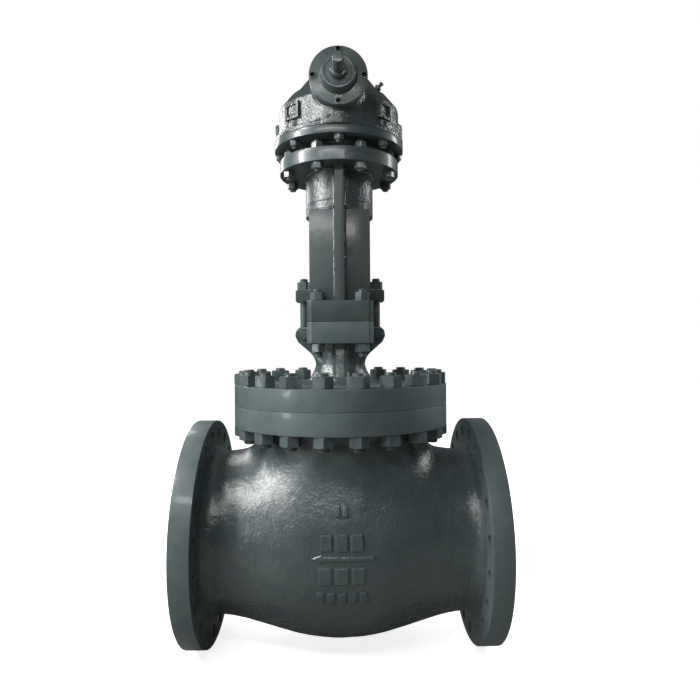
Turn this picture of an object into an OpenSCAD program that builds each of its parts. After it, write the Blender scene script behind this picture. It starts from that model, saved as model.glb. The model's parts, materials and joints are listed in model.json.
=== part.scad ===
// Bolted-bonnet globe valve, 16 in class 300, with flanged ends, a welded yoke and a bevel gear operator.
// Origin: on the ground under the stem axis, level with the lowest point of the pipe flanges. +Z runs up
// the stem, +X points to the inlet flange and the operator's input shaft points to -Y. The valve is drawn
// shut. All sizes are in millimetres, and all heights below are measured from the pipe axis.

/* [Pipe ends] */
// Length from one pipe face to the other
face_to_face = 864; // [850:2:880]
// Outside diameter of each pipe flange
pipe_flange_d = 647.7; // [640:0.1:660]
// Thickness of each pipe flange with its raised face
pipe_flange_t = 57.2; // [50:0.1:62]
// Diameter of the raised gasket face
raised_face_d = 470; // [460:1:480]
// Bore of the pipe ends
port_d = 387.4; // [380:0.1:390]
// Circle of the pipe bolt holes
pipe_pcd = 571.5; // [568:0.1:575]
// Diameter of one pipe bolt hole
pipe_hole_d = 34.9; // [32:0.1:36]
// Number of pipe bolt holes
pipe_hole_n = 20; // [16:4:20]

/* [Body casting] */
// Radius of the barrel at its crown
crown_r = 297; // [292:1:302]
// Radius of the round necks beside the pipe flanges
neck_r = 232; // [228:1:236]
// Radius of the upright neck under the body flange
pot_r = 246; // [242:1:250]
// Radius of the opening that the disc passes through
pot_bore_r = 206; // [204:1:208]

/* [Body joint] */
// Height of the underside of the body flange
body_flange_z = 316.6; // [314:0.1:320]
// Thickness of the body flange
body_flange_t = 60.9; // [58:0.1:64]
// Thickness of the bonnet flange
bonnet_flange_t = 58.7; // [56:0.1:62]
// Outside diameter of the body and bonnet flanges
joint_flange_d = 625.7; // [620:0.1:630]
// Circle of the bonnet studs
bonnet_pcd = 569; // [566:1:572]
// Number of bonnet studs
bonnet_stud_n = 20; // [16:4:20]
// Diameter of a bonnet stud
bonnet_stud_d = 31.75; // [30:0.25:32]

/* [Trim] */
// Radius of the hole through the seat ring
seat_bore_r = 158; // [150:1:160]
// Radius of the disc
disc_r = 188; // [184:1:190]
// Diameter of the stem in the packing
stem_d = 65; // [60:1:66]
// How far the disc lifts
lift = 106; // [90:1:106]

/* [Stuffing box and gland] */
// Radius of the stuffing box
box_r = 50; // [48:1:52]
// Number of packing rings
packing_n = 6; // [4:1:6]
// Distance from the stem to each eye bolt
eye_x = 108; // [107:0.5:109]
// Height of the eye bolt pins
eye_z = 578; // [577:0.5:579]

/* [Yoke] */
// Width of the clamped plates at the foot of the yoke
foot_w = 186; // [182:1:188]
// Depth of those plates, from front to back
foot_d = 290; // [286:1:294]
// Width of each yoke leg
leg_w = 173; // [168:1:176]
// Outer radius of the collar under the operator
collar_r = 100; // [98:1:102]
// Radius of the operator flanges
operator_flange_r = 176; // [174:1:178]

/* [Operator] */
// Radius of the drum of the gear case
drum_r = 170; // [168:1:172]
// Radius of the plate that closes the gear case below
base_plate_r = 191; // [190:1:193]
// Height of the input shaft's axis
shaft_z = 1258; // [1256:1:1260]
// Number of teeth on the bevel gear
gear_teeth = 36; // [36:36]
// Number of teeth on the bevel pinion
pinion_teeth = 12; // [12:12]

/* [Hidden] */
$fn = 72;

// Pipe ends
axis_z = pipe_flange_d / 2;
flange_back_x = face_to_face / 2 - pipe_flange_t;
raised_face_h = 1.6;
port_r = port_d / 2;

// Rows of raised marks: height, width, height of one mark and number of marks
mark_rows = [[124, 40, 34, 2], [45, 112, 38, 3], [-32, 120, 40, 3], [-90, 134, 30, 5]];

// Barrel
neck_x = 262;
cavity_crown_r = 266;
cavity_neck_x = 290;
barrel_steps = 9;

// Body joint and the bonnet above it
joint_z = body_flange_z + body_flange_t;
bonnet_flange_z = joint_z + bonnet_flange_t;
joint_r = joint_flange_d / 2;
gasket_r = [211, 233];
gasket_t = 3;
spigot_z = joint_z - 32.5;
bonnet_nut_af = 50.8;
bonnet_nut_h = 31;
spot_r = 31;
spot_depth = 1;

// Seat, disc and stem
seat_top_z = -5;
slab_top_z = -25;
slab_bottom_z = -60;
seat_press_r = 176;
seat_collar_r = 192;
seat_land = 7;
seat_gap = 0.1;
stem_r = stem_d / 2;
stem_head_r = 52;
stem_head_z = [36.1, 59.8];
thread_r = 29.95;
thread_z = 994;
stem_top_z = 1300;
backseat_z = spigot_z - lift + 8.6;
slide_gap = 0.05;
nut_gap = 0.02;
// Extra clearance of the bolt holes in the outlet flange, on the diameter
outlet_hole_extra = 0.4;

// Stuffing box
box_floor_z = 458;
packing_h = 17;
packing_step = 17.4;
bush_foot_z = box_floor_z + packing_n * packing_step;

// Clamped feet of bonnet and yoke
bonnet_top_z = 612.6;
foot_plate_z = 552;
yoke_plate_z = 671.4;
foot_stud = [62, 122];
foot_chamfer = 12;
foot_nut_af = 36;
foot_nut_h = 24;

// Gland
gland_z = [678, 713];
gland_half_x = 131;
gland_half_y = 32;
gland_nut_z = gland_z[1] + 0.5;
eye_thick = 26;
eye_pin_r = 10;

// Yoke
leg_inner_y = 78;
leg_outer_y = 100;
leg_top_z = 935;
rib_y = 135;
rib_half = 13;
collar_z = 927;
collar_bore_r = 79;
yoke_flange_z = [1051.3, 1071.3];

// Operator
operator_flange_top = 1088.9;
operator_pcd_r = 155;
operator_nut_af = 30;
operator_nut_h = 18;
base_plate_z = [1119, 1141];
case_pcd_r = 174;
case_nut_af = 24;
case_nut_h = 16;
cover_z = 1346;
lower_race_z = 1112;
upper_race_z = 1213;
race_t = 5;
ball_gap_h = 9;
race_r = [52, 79];
sleeve_r = [42, 52];

// Bevel gears: both pitch cones meet at [0, 0, shaft_z]
gear_cone = atan(gear_teeth / pinion_teeth);
pitch_r = 135;
cone_length = pitch_r / sin(gear_cone);
face_width = 36;
flank = tan(20);
gear_addendum = 3;
gear_dedendum = 5.5;
slot_w = 10.6;
pinion_addendum = 4.5;
pinion_dedendum = 4.5;
pinion_tooth_w = 8.4;

// Input shaft, as distances in front of the stem axis
shaft_end_y = 320;
shaft_step_y = 262;
cap_y = [205, 220];
bearing_y = [139, 179];
bearing_w = 21;
bearing_r = [27.5, 50];
ball_pitch_r = 38.75;
shaft_ball_r = 7;
cap_screw_r = 68;

// Paint and metal
paint = [0.30, 0.33, 0.34];
steel = [0.62, 0.63, 0.64];
bronze = [0.72, 0.56, 0.28];
graphite = [0.16, 0.16, 0.17];

// ---------- helpers ----------

// Points of an arc in the plane
function arc(cx, cy, r, a0, a1, n) =
    [for (i = [0:n]) let (a = a0 + (a1 - a0) * i / n) [cx + r * cos(a), cy + r * sin(a)]];

// Radius of a barrel at distance x from its middle, where a round crown falls to the neck
function barrel_r(x, crown, neck, x_neck) =
    let (sag = crown - neck, r = (x_neck * x_neck + sag * sag) / (2 * sag))
    abs(x) >= x_neck ? neck : crown - r + sqrt(r * r - x * x);

// Lifts a piece so that the pipe axis lies half a flange above the ground
module raised() {
    translate([0, 0, axis_z]) children();
}

// Solid of revolution about Z from [radius, height] points
module turned(points) {
    rotate_extrude() polygon(points);
}

// The same, about the input shaft's axis, from [radius, distance in front of the stem] points
module turned_shaft(points) {
    translate([0, 0, shaft_z]) rotate([90, 0, 0]) turned(points);
}

module barrel(crown, neck, x_neck, x_end) {
    steps = barrel_steps;
    side = [for (i = [-steps:steps]) let (x = x_neck * i / steps)
        [barrel_r(x, crown, neck, x_neck), x]];
    rotate([0, 90, 0])
        turned(concat([[0, -x_end], [neck, -x_end]], side, [[neck, x_end], [0, x_end]]));
}

module ring(r_in, r_out, z0, z1) {
    translate([0, 0, z0]) difference() {
        cylinder(r = r_out, h = z1 - z0);
        translate([0, 0, -1]) cylinder(r = r_in, h = z1 - z0 + 2);
    }
}

// Concave fillet that spreads from a round neck of radius r up to a face at height z
module fillet_up(r, z, f) {
    turned(concat([[r - 2, z - f], [r, z - f]], arc(r + f, z - f, f, 180, 90, 6), [[r - 2, z]]));
}

// Evenly spaced copies round the stem
module round_copies(n, r, start = 0) {
    for (i = [0:n - 1]) rotate([0, 0, start + 360 * i / n]) translate([r, 0, 0]) children();
}

module foot_copies() {
    for (sx = [-1, 1], sy = [-1, 1]) translate([sx * foot_stud[0], sy * foot_stud[1], 0]) children();
}

// Hexagon nut with its corners turned off, standing on z = 0
module hex_nut(af, h, bore_r) {
    corner_r = af / sqrt(3);
    cut = (corner_r - af / 2) * 1.3;
    difference() {
        intersection() {
            cylinder(r = corner_r, h = h, $fn = 6);
            turned([[0, 0], [corner_r, 0], [corner_r, h - cut * 0.6], [corner_r - cut, h], [0, h]]);
        }
        translate([0, 0, -1]) cylinder(r = bore_r, h = h + 2);
    }
}

// Stud with chamfered ends
module stud(r, z0, z1) {
    c = r * 0.18;
    turned([[0, z0], [r - c, z0], [r, z0 + c], [r, z1 - c], [r - c, z1], [0, z1]]);
}

// Plate with chamfered corners, shared by the feet of bonnet and yoke
module foot_plate(z0, z1) {
    x = foot_w / 2;
    y = foot_d / 2;
    c = foot_chamfer;
    translate([0, 0, z0]) linear_extrude(z1 - z0)
        polygon([[x, y - c], [x - c, y], [c - x, y], [-x, y - c], [-x, c - y], [c - x, -y],
                 [x - c, -y], [x, c - y]]);
}

// ---------- body and trim ----------

module pipe_flange() {
    x1 = face_to_face / 2 - raised_face_h;
    rotate([0, 90, 0]) {
        translate([0, 0, flange_back_x]) cylinder(d = pipe_flange_d, h = x1 - flange_back_x);
        cylinder(d = raised_face_d, h = face_to_face / 2);
        fillet_up(neck_r, flange_back_x, 16);
    }
}

module pipe_holes(d) {
    rotate([0, 90, 0]) translate([0, 0, flange_back_x - 1])
        round_copies(pipe_hole_n, pipe_pcd / 2, 180 / pipe_hole_n)
            cylinder(d = d, h = pipe_flange_t + 2);
}

// The S-shaped wall that carries the seat and parts the inlet from the outlet
module partition() {
    wall = pot_bore_r + 3;
    rotate([90, 0, 0]) linear_extrude(620, center = true)
        polygon([[-258, -290], [-218, -290], [-196, slab_bottom_z], [wall + 32, slab_bottom_z],
                 [wall + 40, 0], [wall + 40, 275], [wall, 275], [wall, 30], [wall - 8, slab_top_z],
                 [-236, slab_top_z]]);
}

// Direction arrow that points from the inlet to the outlet
module arrow_outline() {
    shaft_half = 5;
    head = 24;
    polygon([[78, -shaft_half], [78, shaft_half], [-48, shaft_half], [-48, head / 2], [-72, 0],
             [-48, -head / 2], [-48, -shaft_half]]);
}

// Raised cast marks on the front of the barrel: the arrow and plain blocks
module cast_marks() {
    proud = 4;
    intersection() {
        barrel(crown_r + proud, neck_r + proud, neck_x, 300);
        rotate([90, 0, 0]) linear_extrude(330) {
            translate([0, 9]) arrow_outline();
            for (row = mark_rows, i = [0:row[3] - 1])
                translate([(i + 0.5) * row[1] / row[3] - row[1] / 2, row[0]])
                    square([row[1] / row[3] - 8, row[2]], center = true);
        }
    }
}

module body() color(paint) raised() {
    difference() {
        union() {
            barrel(crown_r, neck_r, neck_x, flange_back_x + 5);
            for (m = [0, 1]) mirror([m, 0, 0]) pipe_flange();
            cylinder(r = pot_r, h = body_flange_z + 5);
            fillet_up(pot_r, body_flange_z, 26);
            translate([0, 0, body_flange_z]) cylinder(r = joint_r, h = body_flange_t);
            cast_marks();
        }
        difference() {
            union() {
                barrel(cavity_crown_r, port_r, cavity_neck_x, face_to_face / 2 + 5);
                cylinder(r = pot_bore_r, h = joint_z + 5);
            }
            partition();
        }
        translate([0, 0, slab_bottom_z - 5]) cylinder(r = seat_press_r, h = 45);
        ring(gasket_r[0], gasket_r[1], joint_z - gasket_t, joint_z + 5);
        pipe_holes(pipe_hole_d);
        mirror([1, 0, 0]) pipe_holes(pipe_hole_d + outlet_hole_extra);
        round_copies(bonnet_stud_n, bonnet_pcd / 2, 180 / bonnet_stud_n) {
            translate([0, 0, body_flange_z - 5]) cylinder(r = bonnet_stud_d / 2 + 1.6, h = 90);
            translate([0, 0, body_flange_z - 50]) cylinder(r = spot_r, h = 50 + spot_depth);
        }
    }
}

module seat_ring() color(steel) raised() {
    bore = seat_bore_r;
    turned([[bore, slab_bottom_z], [seat_press_r, slab_bottom_z], [seat_press_r, slab_top_z],
            [seat_collar_r, slab_top_z], [seat_collar_r, seat_top_z], [bore + seat_land, seat_top_z],
            [bore, seat_top_z - seat_land]]);
}

module disc() color(steel) raised() {
    cone_r = seat_bore_r + seat_land - seat_gap * sqrt(2);
    hub_r = 82;
    turned([[0, -30], [seat_bore_r - 8, -30], [cone_r - 8, seat_top_z - 8], [cone_r, seat_top_z],
            [cone_r, seat_top_z + 0.5], [disc_r, seat_top_z + 0.5], [disc_r, 22], [disc_r - 10, 32],
            [hub_r + 8, 34], [hub_r, 42], [hub_r, 100], [62, 100], [62, 60], [54, 60], [54, 36],
            [0, 36]]);
}

module disc_nut() color(steel) raised() {
    difference() {
        union() {
            translate([0, 0, 60]) cylinder(r = 62, h = 40);
            translate([0, 0, 100]) cylinder(r = 60, h = 14, $fn = 6);
        }
        translate([0, 0, 59]) cylinder(r = stem_r + 1.5, h = 60);
    }
}

module stem() color(steel) raised() {
    turned([[0, stem_head_z[0]], [stem_head_r, stem_head_z[0]], [stem_head_r, stem_head_z[1] - 3],
            [stem_head_r - 3, stem_head_z[1]], [stem_r, stem_head_z[1]], [stem_r, backseat_z - 16],
            [stem_r + 9, backseat_z - 10], [stem_r + 9, backseat_z - 9], [stem_r, backseat_z],
            [stem_r, thread_z - 6], [thread_r, thread_z], [thread_r, stem_top_z - 4],
            [thread_r - 4, stem_top_z], [0, stem_top_z]]);
}

// ---------- bonnet and stuffing box ----------

module bonnet_gasket() color(graphite) raised() {
    ring(gasket_r[0] + 0.5, gasket_r[1] - 0.5, joint_z - gasket_t, joint_z);
}

// One fork lug pair for an eye bolt, on the +X side
module eye_fork() {
    r = 26;
    difference() {
        rotate([90, 0, 0]) linear_extrude(68, center = true) {
            translate([eye_x - 1, eye_z]) circle(r = r);
            polygon([[40, 500], [72, 508], [eye_x + 17, eye_z - 20], [eye_x - 1, eye_z + r],
                     [70, eye_z + r], [40, 560]]);
        }
        translate([eye_x - 24, -14, 553]) cube([60, 28, 80]);
        translate([eye_x, 0, eye_z]) rotate([90, 0, 0])
            cylinder(r = eye_pin_r, h = 100, center = true);
    }
}

// Upright web under the clamped foot, at the front or the back
module bonnet_web() {
    rotate([90, 0, 90]) linear_extrude(28, center = true)
        polygon([[40, bonnet_flange_z - 2], [152, bonnet_flange_z - 2], [140, 452], [122, 490],
                 [112, foot_plate_z + 2], [40, foot_plate_z + 2]]);
}

module bonnet() color(paint) raised() {
    difference() {
        union() {
            turned(concat([[0, spigot_z], [pot_bore_r - 1, spigot_z], [pot_bore_r - 1, joint_z],
                           [joint_r, joint_z], [joint_r, bonnet_flange_z]],
                          arc(114, bonnet_flange_z + 26, 26, 270, 200, 6),
                          [[79, 472], [73, 490], [72, 508], [74, 530], [80, foot_plate_z],
                           [80, bonnet_top_z], [0, bonnet_top_z]]));
            foot_plate(foot_plate_z, bonnet_top_z);
            for (a = [0, 180]) rotate([0, 0, a]) {
                eye_fork();
                bonnet_web();
            }
        }
        for (a = [0, 180]) rotate([0, 0, a])
            translate([eye_x - 24, -14.5, 553]) cube([60, 29, 80]);
        translate([0, 0, spigot_z - 5]) cylinder(r = 54, h = 55);
        translate([0, 0, spigot_z]) cylinder(r = stem_r + 1, h = 200);
        translate([0, 0, box_floor_z]) cylinder(r = box_r, h = 200);
        foot_copies() translate([0, 0, foot_plate_z - 5]) cylinder(r = 13, h = 80);
        round_copies(bonnet_stud_n, bonnet_pcd / 2, 180 / bonnet_stud_n)
            translate([0, 0, joint_z - 5]) cylinder(r = bonnet_stud_d / 2 + 1.6, h = 80);
    }
}

module backseat_bush() color(bronze) raised() {
    turned([[stem_r + 9, spigot_z], [54, spigot_z], [54, spigot_z + 50],
            [stem_r + 0.5, spigot_z + 50], [stem_r + 0.5, spigot_z + 9]]);
}

module bonnet_studs() color(paint) raised() {
    round_copies(bonnet_stud_n, bonnet_pcd / 2, 180 / bonnet_stud_n)
        stud(bonnet_stud_d / 2, body_flange_z - bonnet_nut_h - 10, bonnet_flange_z + bonnet_nut_h + 8);
}

// Nuts above and below the joint; each touches its stud
module bonnet_nuts() color(paint) raised() {
    round_copies(bonnet_stud_n, bonnet_pcd / 2, 180 / bonnet_stud_n) {
        translate([0, 0, bonnet_flange_z + nut_gap])
            rotate([0, 0, 17]) hex_nut(bonnet_nut_af, bonnet_nut_h, bonnet_stud_d / 2);
        translate([0, 0, body_flange_z + spot_depth - nut_gap])
            mirror([0, 0, 1]) hex_nut(bonnet_nut_af, bonnet_nut_h, bonnet_stud_d / 2);
    }
}

module packing_rings() color(graphite) raised() {
    for (i = [0:packing_n - 1])
        ring(stem_r + slide_gap, box_r, box_floor_z + i * packing_step,
             box_floor_z + i * packing_step + packing_h);
}

module gland_bush() color(steel) raised() {
    shoulder_z = gland_z[0] - 2;
    turned([[stem_r + 0.4, bush_foot_z], [box_r - 0.1, bush_foot_z], [box_r - 0.1, shoulder_z],
            [58, shoulder_z], [58, gland_z[0] + 8], [stem_r + 0.4, gland_z[0] + 8]]);
}

module gland_flange() color(paint) raised() {
    h = gland_z[1] - gland_z[0];
    difference() {
        translate([0, 0, gland_z[0]]) linear_extrude(h) difference() {
            union() {
                circle(r = 68);
                square([2 * gland_half_x, 2 * gland_half_y], center = true);
            }
            circle(r = stem_r + 1);
            for (a = [0, 180]) rotate(a) {
                translate([eye_x, 0]) circle(r = 13.5);
                translate([eye_x, -13.5]) square([40, 27]);
            }
        }
        translate([0, 0, gland_z[0] - 1]) cylinder(r = 58.2, h = 9);
        for (a = [0, 180]) rotate([0, 0, a]) {
            // Top of each end slopes down so that the slack nut can swing clear
            translate([eye_x + 10, -50, gland_z[1]]) rotate([0, 15, 0]) cube([40, 100, 20]);
            translate([gland_half_x - 11, -50, gland_z[0]]) rotate([0, 55, 0]) cube([20, 100, 30]);
        }
    }
}

module eye_bolt_pins() color(paint) raised() {
    for (s = [-1, 1]) translate([s * eye_x, 0, eye_z]) rotate([90, 0, 0]) {
        cylinder(r = eye_pin_r, h = 80, center = true);
        translate([0, 0, 35]) cylinder(r = 13.5, h = 6);
        translate([0, 0, -41]) cylinder(r = 13.5, h = 6);
    }
}

module eye_bolt() {
    difference() {
        union() {
            rotate([90, 0, 0]) cylinder(r = 21, h = eye_thick, center = true);
            translate([0, 0, -eye_z]) stud(12, eye_z + 5, 747);
        }
        rotate([90, 0, 0]) cylinder(r = eye_pin_r + slide_gap, h = 60, center = true);
    }
}

module eye_bolt_left() color(paint) raised() {
    translate([-eye_x, 0, eye_z]) eye_bolt();
}

module eye_bolt_right() color(paint) raised() {
    translate([eye_x, 0, eye_z]) eye_bolt();
}

module gland_nut(x) {
    translate([x, 0, gland_nut_z]) hex_nut(foot_nut_af, foot_nut_h, 12);
}

module gland_nut_left() color(paint) raised() {
    gland_nut(-eye_x);
}

module gland_nut_right() color(paint) raised() {
    gland_nut(eye_x);
}

// ---------- yoke and stem guide ----------

module yoke() color(paint) raised() {
    difference() {
        union() {
            foot_plate(bonnet_top_z, yoke_plate_z);
            for (a = [0, 180]) rotate([0, 0, a]) {
                translate([-leg_w / 2, leg_inner_y, yoke_plate_z - 2])
                    cube([leg_w, leg_outer_y - leg_inner_y, leg_top_z - yoke_plate_z + 2]);
                translate([-rib_half, leg_outer_y - 2, yoke_plate_z - 2])
                    cube([2 * rib_half, rib_y - leg_outer_y + 2, yoke_flange_z[0] - yoke_plate_z + 3]);
            }
            translate([0, 0, collar_z]) cylinder(r = collar_r, h = yoke_flange_z[0] - collar_z + 1);
            translate([0, 0, yoke_flange_z[0]])
                cylinder(r = operator_flange_r, h = yoke_flange_z[1] - yoke_flange_z[0]);
        }
        translate([0, 0, bonnet_top_z - 5]) cylinder(r = 62, h = 80);
        translate([0, 0, collar_z - 5]) cylinder(r = collar_bore_r, h = 200);
        foot_copies() translate([0, 0, bonnet_top_z - 5]) cylinder(r = 13, h = 80);
        round_copies(8, operator_pcd_r, 22.5)
            translate([0, 0, yoke_flange_z[0] - 5]) cylinder(r = 10.5, h = 40);
    }
}

module yoke_studs() color(paint) raised() {
    foot_copies() stud(12, foot_plate_z - foot_nut_h - 14, yoke_plate_z + foot_nut_h + 8);
}

module yoke_nuts() color(paint) raised() {
    foot_copies() {
        translate([0, 0, yoke_plate_z + nut_gap]) hex_nut(foot_nut_af, foot_nut_h, 12);
        translate([0, 0, foot_plate_z - nut_gap]) mirror([0, 0, 1]) hex_nut(foot_nut_af, foot_nut_h, 12);
    }
}

// Half of the guide that stops the stem from turning; its tongue slides on a yoke leg
module stem_guide_half() {
    translate([0, 0, 768]) difference() {
        linear_extrude(30) difference() {
            union() {
                translate([-60, 0.5]) square([120, 39.5]);
                translate([-30, 0.5]) square([60, leg_inner_y - slide_gap - 0.5]);
            }
            circle(r = stem_r);
        }
        for (s = [-1, 1]) translate([s * 46, 0, 15]) rotate([-90, 0, 0])
            translate([0, 0, -5]) cylinder(r = 6, h = 60);
    }
}

module stem_guide_front() color(steel) raised() {
    rotate([0, 0, 180]) stem_guide_half();
}

module stem_guide_rear() color(steel) raised() {
    stem_guide_half();
}

module guide_bolts() color(steel) raised() {
    for (s = [-1, 1]) translate([s * 46, 40, 783]) rotate([90, 0, 0]) {
        cylinder(r = 6, h = 80);
        translate([0, 0, 80]) cylinder(r = 10.4, h = 8, $fn = 6);
        translate([0, 0, -10]) cylinder(r = 10.4, h = 10, $fn = 6);
    }
}

// ---------- operator housing ----------

module operator_base() color(paint) raised() {
    neck = 125;
    difference() {
        turned([[60, yoke_flange_z[1] - 8], [collar_bore_r, yoke_flange_z[1] - 8],
                [collar_bore_r, yoke_flange_z[1]], [operator_flange_r, yoke_flange_z[1]],
                [operator_flange_r, operator_flange_top], [neck, operator_flange_top],
                [neck, base_plate_z[0]], [base_plate_r, base_plate_z[0]],
                [base_plate_r, base_plate_z[1]], [151.8, base_plate_z[1]],
                [151.8, base_plate_z[1] + 6], [race_r[1], base_plate_z[1] + 6],
                [race_r[1], lower_race_z], [60, lower_race_z]]);
        round_copies(8, operator_pcd_r, 22.5)
            translate([0, 0, yoke_flange_z[1] - 5]) cylinder(r = 10.5, h = 40);
        round_copies(8, case_pcd_r)
            translate([0, 0, base_plate_z[0] - 5]) cylinder(r = 8.5, h = 40);
    }
}

module operator_studs() color(paint) raised() {
    round_copies(8, operator_pcd_r, 22.5)
        stud(10, yoke_flange_z[0] - operator_nut_h - 7, operator_flange_top + operator_nut_h + 7);
}

module operator_nuts() color(paint) raised() {
    round_copies(8, operator_pcd_r, 22.5) {
        translate([0, 0, operator_flange_top + nut_gap]) hex_nut(operator_nut_af, operator_nut_h, 10);
        translate([0, 0, yoke_flange_z[0] - nut_gap])
            mirror([0, 0, 1]) hex_nut(operator_nut_af, operator_nut_h, 10);
    }
}

// Raised, framed pad on the side of the drum
module drum_pad() {
    z_mid = 1189;
    difference() {
        translate([drum_r - 25, -27, z_mid - 23]) cube([32, 54, 46]);
        translate([drum_r + 3, -16, z_mid - 17]) cube([10, 32, 34]);
    }
}

module case_shell() {
    foot_z = base_plate_z[1];
    turned(concat([[0, foot_z], [base_plate_r, foot_z], [base_plate_r, foot_z + 11],
                   [drum_r + 5, foot_z + 11], [drum_r, foot_z + 16]],
                  arc(drum_r - 43, 1247, 43, 0, 90, 6),
                  [[88, 1338], [66, 1341], [66, cover_z], [0, cover_z]]));
    // Tall lugs at the sides and the back, short lugs between them
    round_copies(4, case_pcd_r)
        turned([[0, foot_z + 8], [18, foot_z + 8], [18, 1202], [8, 1212], [0, 1212]]);
    round_copies(4, case_pcd_r, 45) translate([0, 0, foot_z + 8]) cylinder(r = 16, h = 17);
    for (a = [-45, -135, 45, 135]) rotate([0, 0, a]) drum_pad();
    // Housing of the pinion and the saddle that joins it to the drum
    turned_shaft([[0, 60], [66, 60], [66, 188], [78, 192], [78, cap_y[0]], [0, cap_y[0]]]);
    translate([0, 0, foot_z]) linear_extrude(shaft_z - foot_z) {
        translate([-58, -172]) square([116, 90]);
        translate([-38, -192]) square([76, 60]);
        for (s = [-1, 1]) translate([s * 38, -172]) circle(r = 20);
    }
}

// Room for the gear, less the boss that holds the upper thrust race
module case_cavity() {
    difference() {
        turned([[0, base_plate_z[1] - 1], [151.8, base_plate_z[1] - 1], [151.8, 1240], [142, 1264],
                [120, 1276], [84, 1322], [0, 1322]]);
        ring(54, 84, upper_race_z + 2 * race_t + ball_gap_h, 1330);
    }
}

module gear_case() color(paint) raised() {
    difference() {
        case_shell();
        case_cavity();
        turned_shaft([[0, 85], [bearing_r[1], 85], [bearing_r[1], cap_y[0] + 1], [0, cap_y[0] + 1]]);
        translate([0, 0, 1300]) cylinder(r = 40, h = 60);
        round_copies(8, case_pcd_r) translate([0, 0, base_plate_z[1] - 1]) cylinder(r = 8, h = 22);
        for (i = [0:3]) translate([0, 0, shaft_z]) rotate([90, 90 * i, 0])
            translate([cap_screw_r, 0, cap_y[0] - 13]) cylinder(r = 6, h = 30);
        rotate([0, 0, -20]) translate([118, 0, 1298]) rotate([0, 48, 0])
            cylinder(r = 5, h = 40, center = true);
        round_copies(4, 54, 45) translate([0, 0, cover_z - 14]) cylinder(r = 4, h = 20);
    }
}

module case_studs() color(paint) raised() {
    round_copies(8, case_pcd_r) stud(8, base_plate_z[0] - case_nut_h - 7, base_plate_z[1] + 20);
}

module case_nuts() color(paint) raised() {
    round_copies(8, case_pcd_r) translate([0, 0, base_plate_z[0] - nut_gap])
        mirror([0, 0, 1]) hex_nut(case_nut_af, case_nut_h, 8);
}

module stem_cover() color(paint) raised() {
    top = 1425;
    difference() {
        turned([[38, cover_z], [62, cover_z], [62, cover_z + 8], [46, cover_z + 8], [46, top - 6],
                [40, top], [0, top], [0, top - 8], [38, top - 8]]);
        round_copies(4, 54, 45) translate([0, 0, cover_z - 1]) cylinder(r = 4.2, h = 20);
    }
}

module cover_screws() color(steel) raised() {
    round_copies(4, 54, 45) {
        translate([0, 0, cover_z + 8]) cylinder(r = 6.5, h = 5, $fn = 6);
        translate([0, 0, cover_z - 12]) cylinder(r = 4, h = 20);
    }
}

module grease_fitting() color(paint) raised() {
    rotate([0, 0, -20]) translate([118, 0, 1298]) rotate([0, 48, 0]) {
        turned([[0, -12], [5, -12], [5, 7], [4, 8], [3.2, 16], [4.4, 19], [3.6, 23], [0, 24]]);
        translate([0, 0, 4]) cylinder(r = 8, h = 6, $fn = 6);
    }
}

// ---------- drive train ----------

module drive_sleeve() color(steel) raised() {
    collar_z0 = lower_race_z + 2 * race_t + ball_gap_h;
    difference() {
        turned([[sleeve_r[0], lower_race_z], [sleeve_r[1], lower_race_z], [sleeve_r[1], collar_z0],
                [race_r[1] - 1, collar_z0], [race_r[1] - 1, collar_z0 + 19],
                [sleeve_r[1], collar_z0 + 19],
                [sleeve_r[1], 1240], [sleeve_r[0], 1240]]);
        translate([-7, sleeve_r[1] - 5, 1156]) cube([14, 10, 48]);
    }
}

module stem_nut() color(bronze) raised() {
    turned([[thread_r + slide_gap, 1104], [50, 1104], [50, lower_race_z], [sleeve_r[0], lower_race_z],
            [sleeve_r[0], 1262], [thread_r + slide_gap, 1262]]);
}

module lock_ring() color(steel) raised() {
    difference() {
        ring(sleeve_r[0], 53, 1240, 1252);
        for (a = [0:60:300]) rotate([0, 0, a]) translate([50, -4, 1239]) cube([6, 8, 14]);
    }
}

// Straight tooth or slot cut along a pitch cone: v is height above the cone, w the width on it
module tooth_prism(v0, v1, w, widen, s0, s1) {
    translate([0, 0, s0]) linear_extrude(s1 - s0)
        polygon([[-v0, -w / 2 - widen * v0], [-v0, w / 2 + widen * v0],
                 [-v1, w / 2 + widen * v1], [-v1, -w / 2 - widen * v1]]);
}

// Point of the gear's section at distance s along the pitch cone and height v above it
function gear_point(s, v) =
    [s * sin(gear_cone) + v * cos(gear_cone), shaft_z - s * cos(gear_cone) + v * sin(gear_cone)];

module bevel_gear() color(steel) raised() {
    inner_s = cone_length - face_width;
    difference() {
        turned([[sleeve_r[1], 1150], [82, 1150], [82, 1176], [112, 1190], [129, 1197],
                gear_point(cone_length, gear_addendum), gear_point(inner_s, gear_addendum),
                [95, 1213], [84, 1200], [80, 1200], [80, upper_race_z], [sleeve_r[1], upper_race_z]]);
        for (i = [0:gear_teeth - 1]) rotate([0, 0, -90 + i * 360 / gear_teeth])
            translate([0, 0, shaft_z]) rotate([0, 180 - gear_cone, 0])
                tooth_prism(-gear_dedendum, 7, slot_w, flank, inner_s - 10, cone_length + 10);
        translate([-7, sleeve_r[1] - 5, 1156]) cube([14, 9, 48]);
    }
}

module gear_key() color(steel) raised() {
    translate([-7, sleeve_r[1] - 5, 1156]) cube([14, 9, 48]);
}

// Races of the two thrust bearings that stay with the housing
module thrust_races_fixed() color(steel) raised() {
    ring(54, race_r[1], lower_race_z, lower_race_z + race_t);
    ring(54, race_r[1], upper_race_z + race_t + ball_gap_h, upper_race_z + 2 * race_t + ball_gap_h);
}

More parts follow.
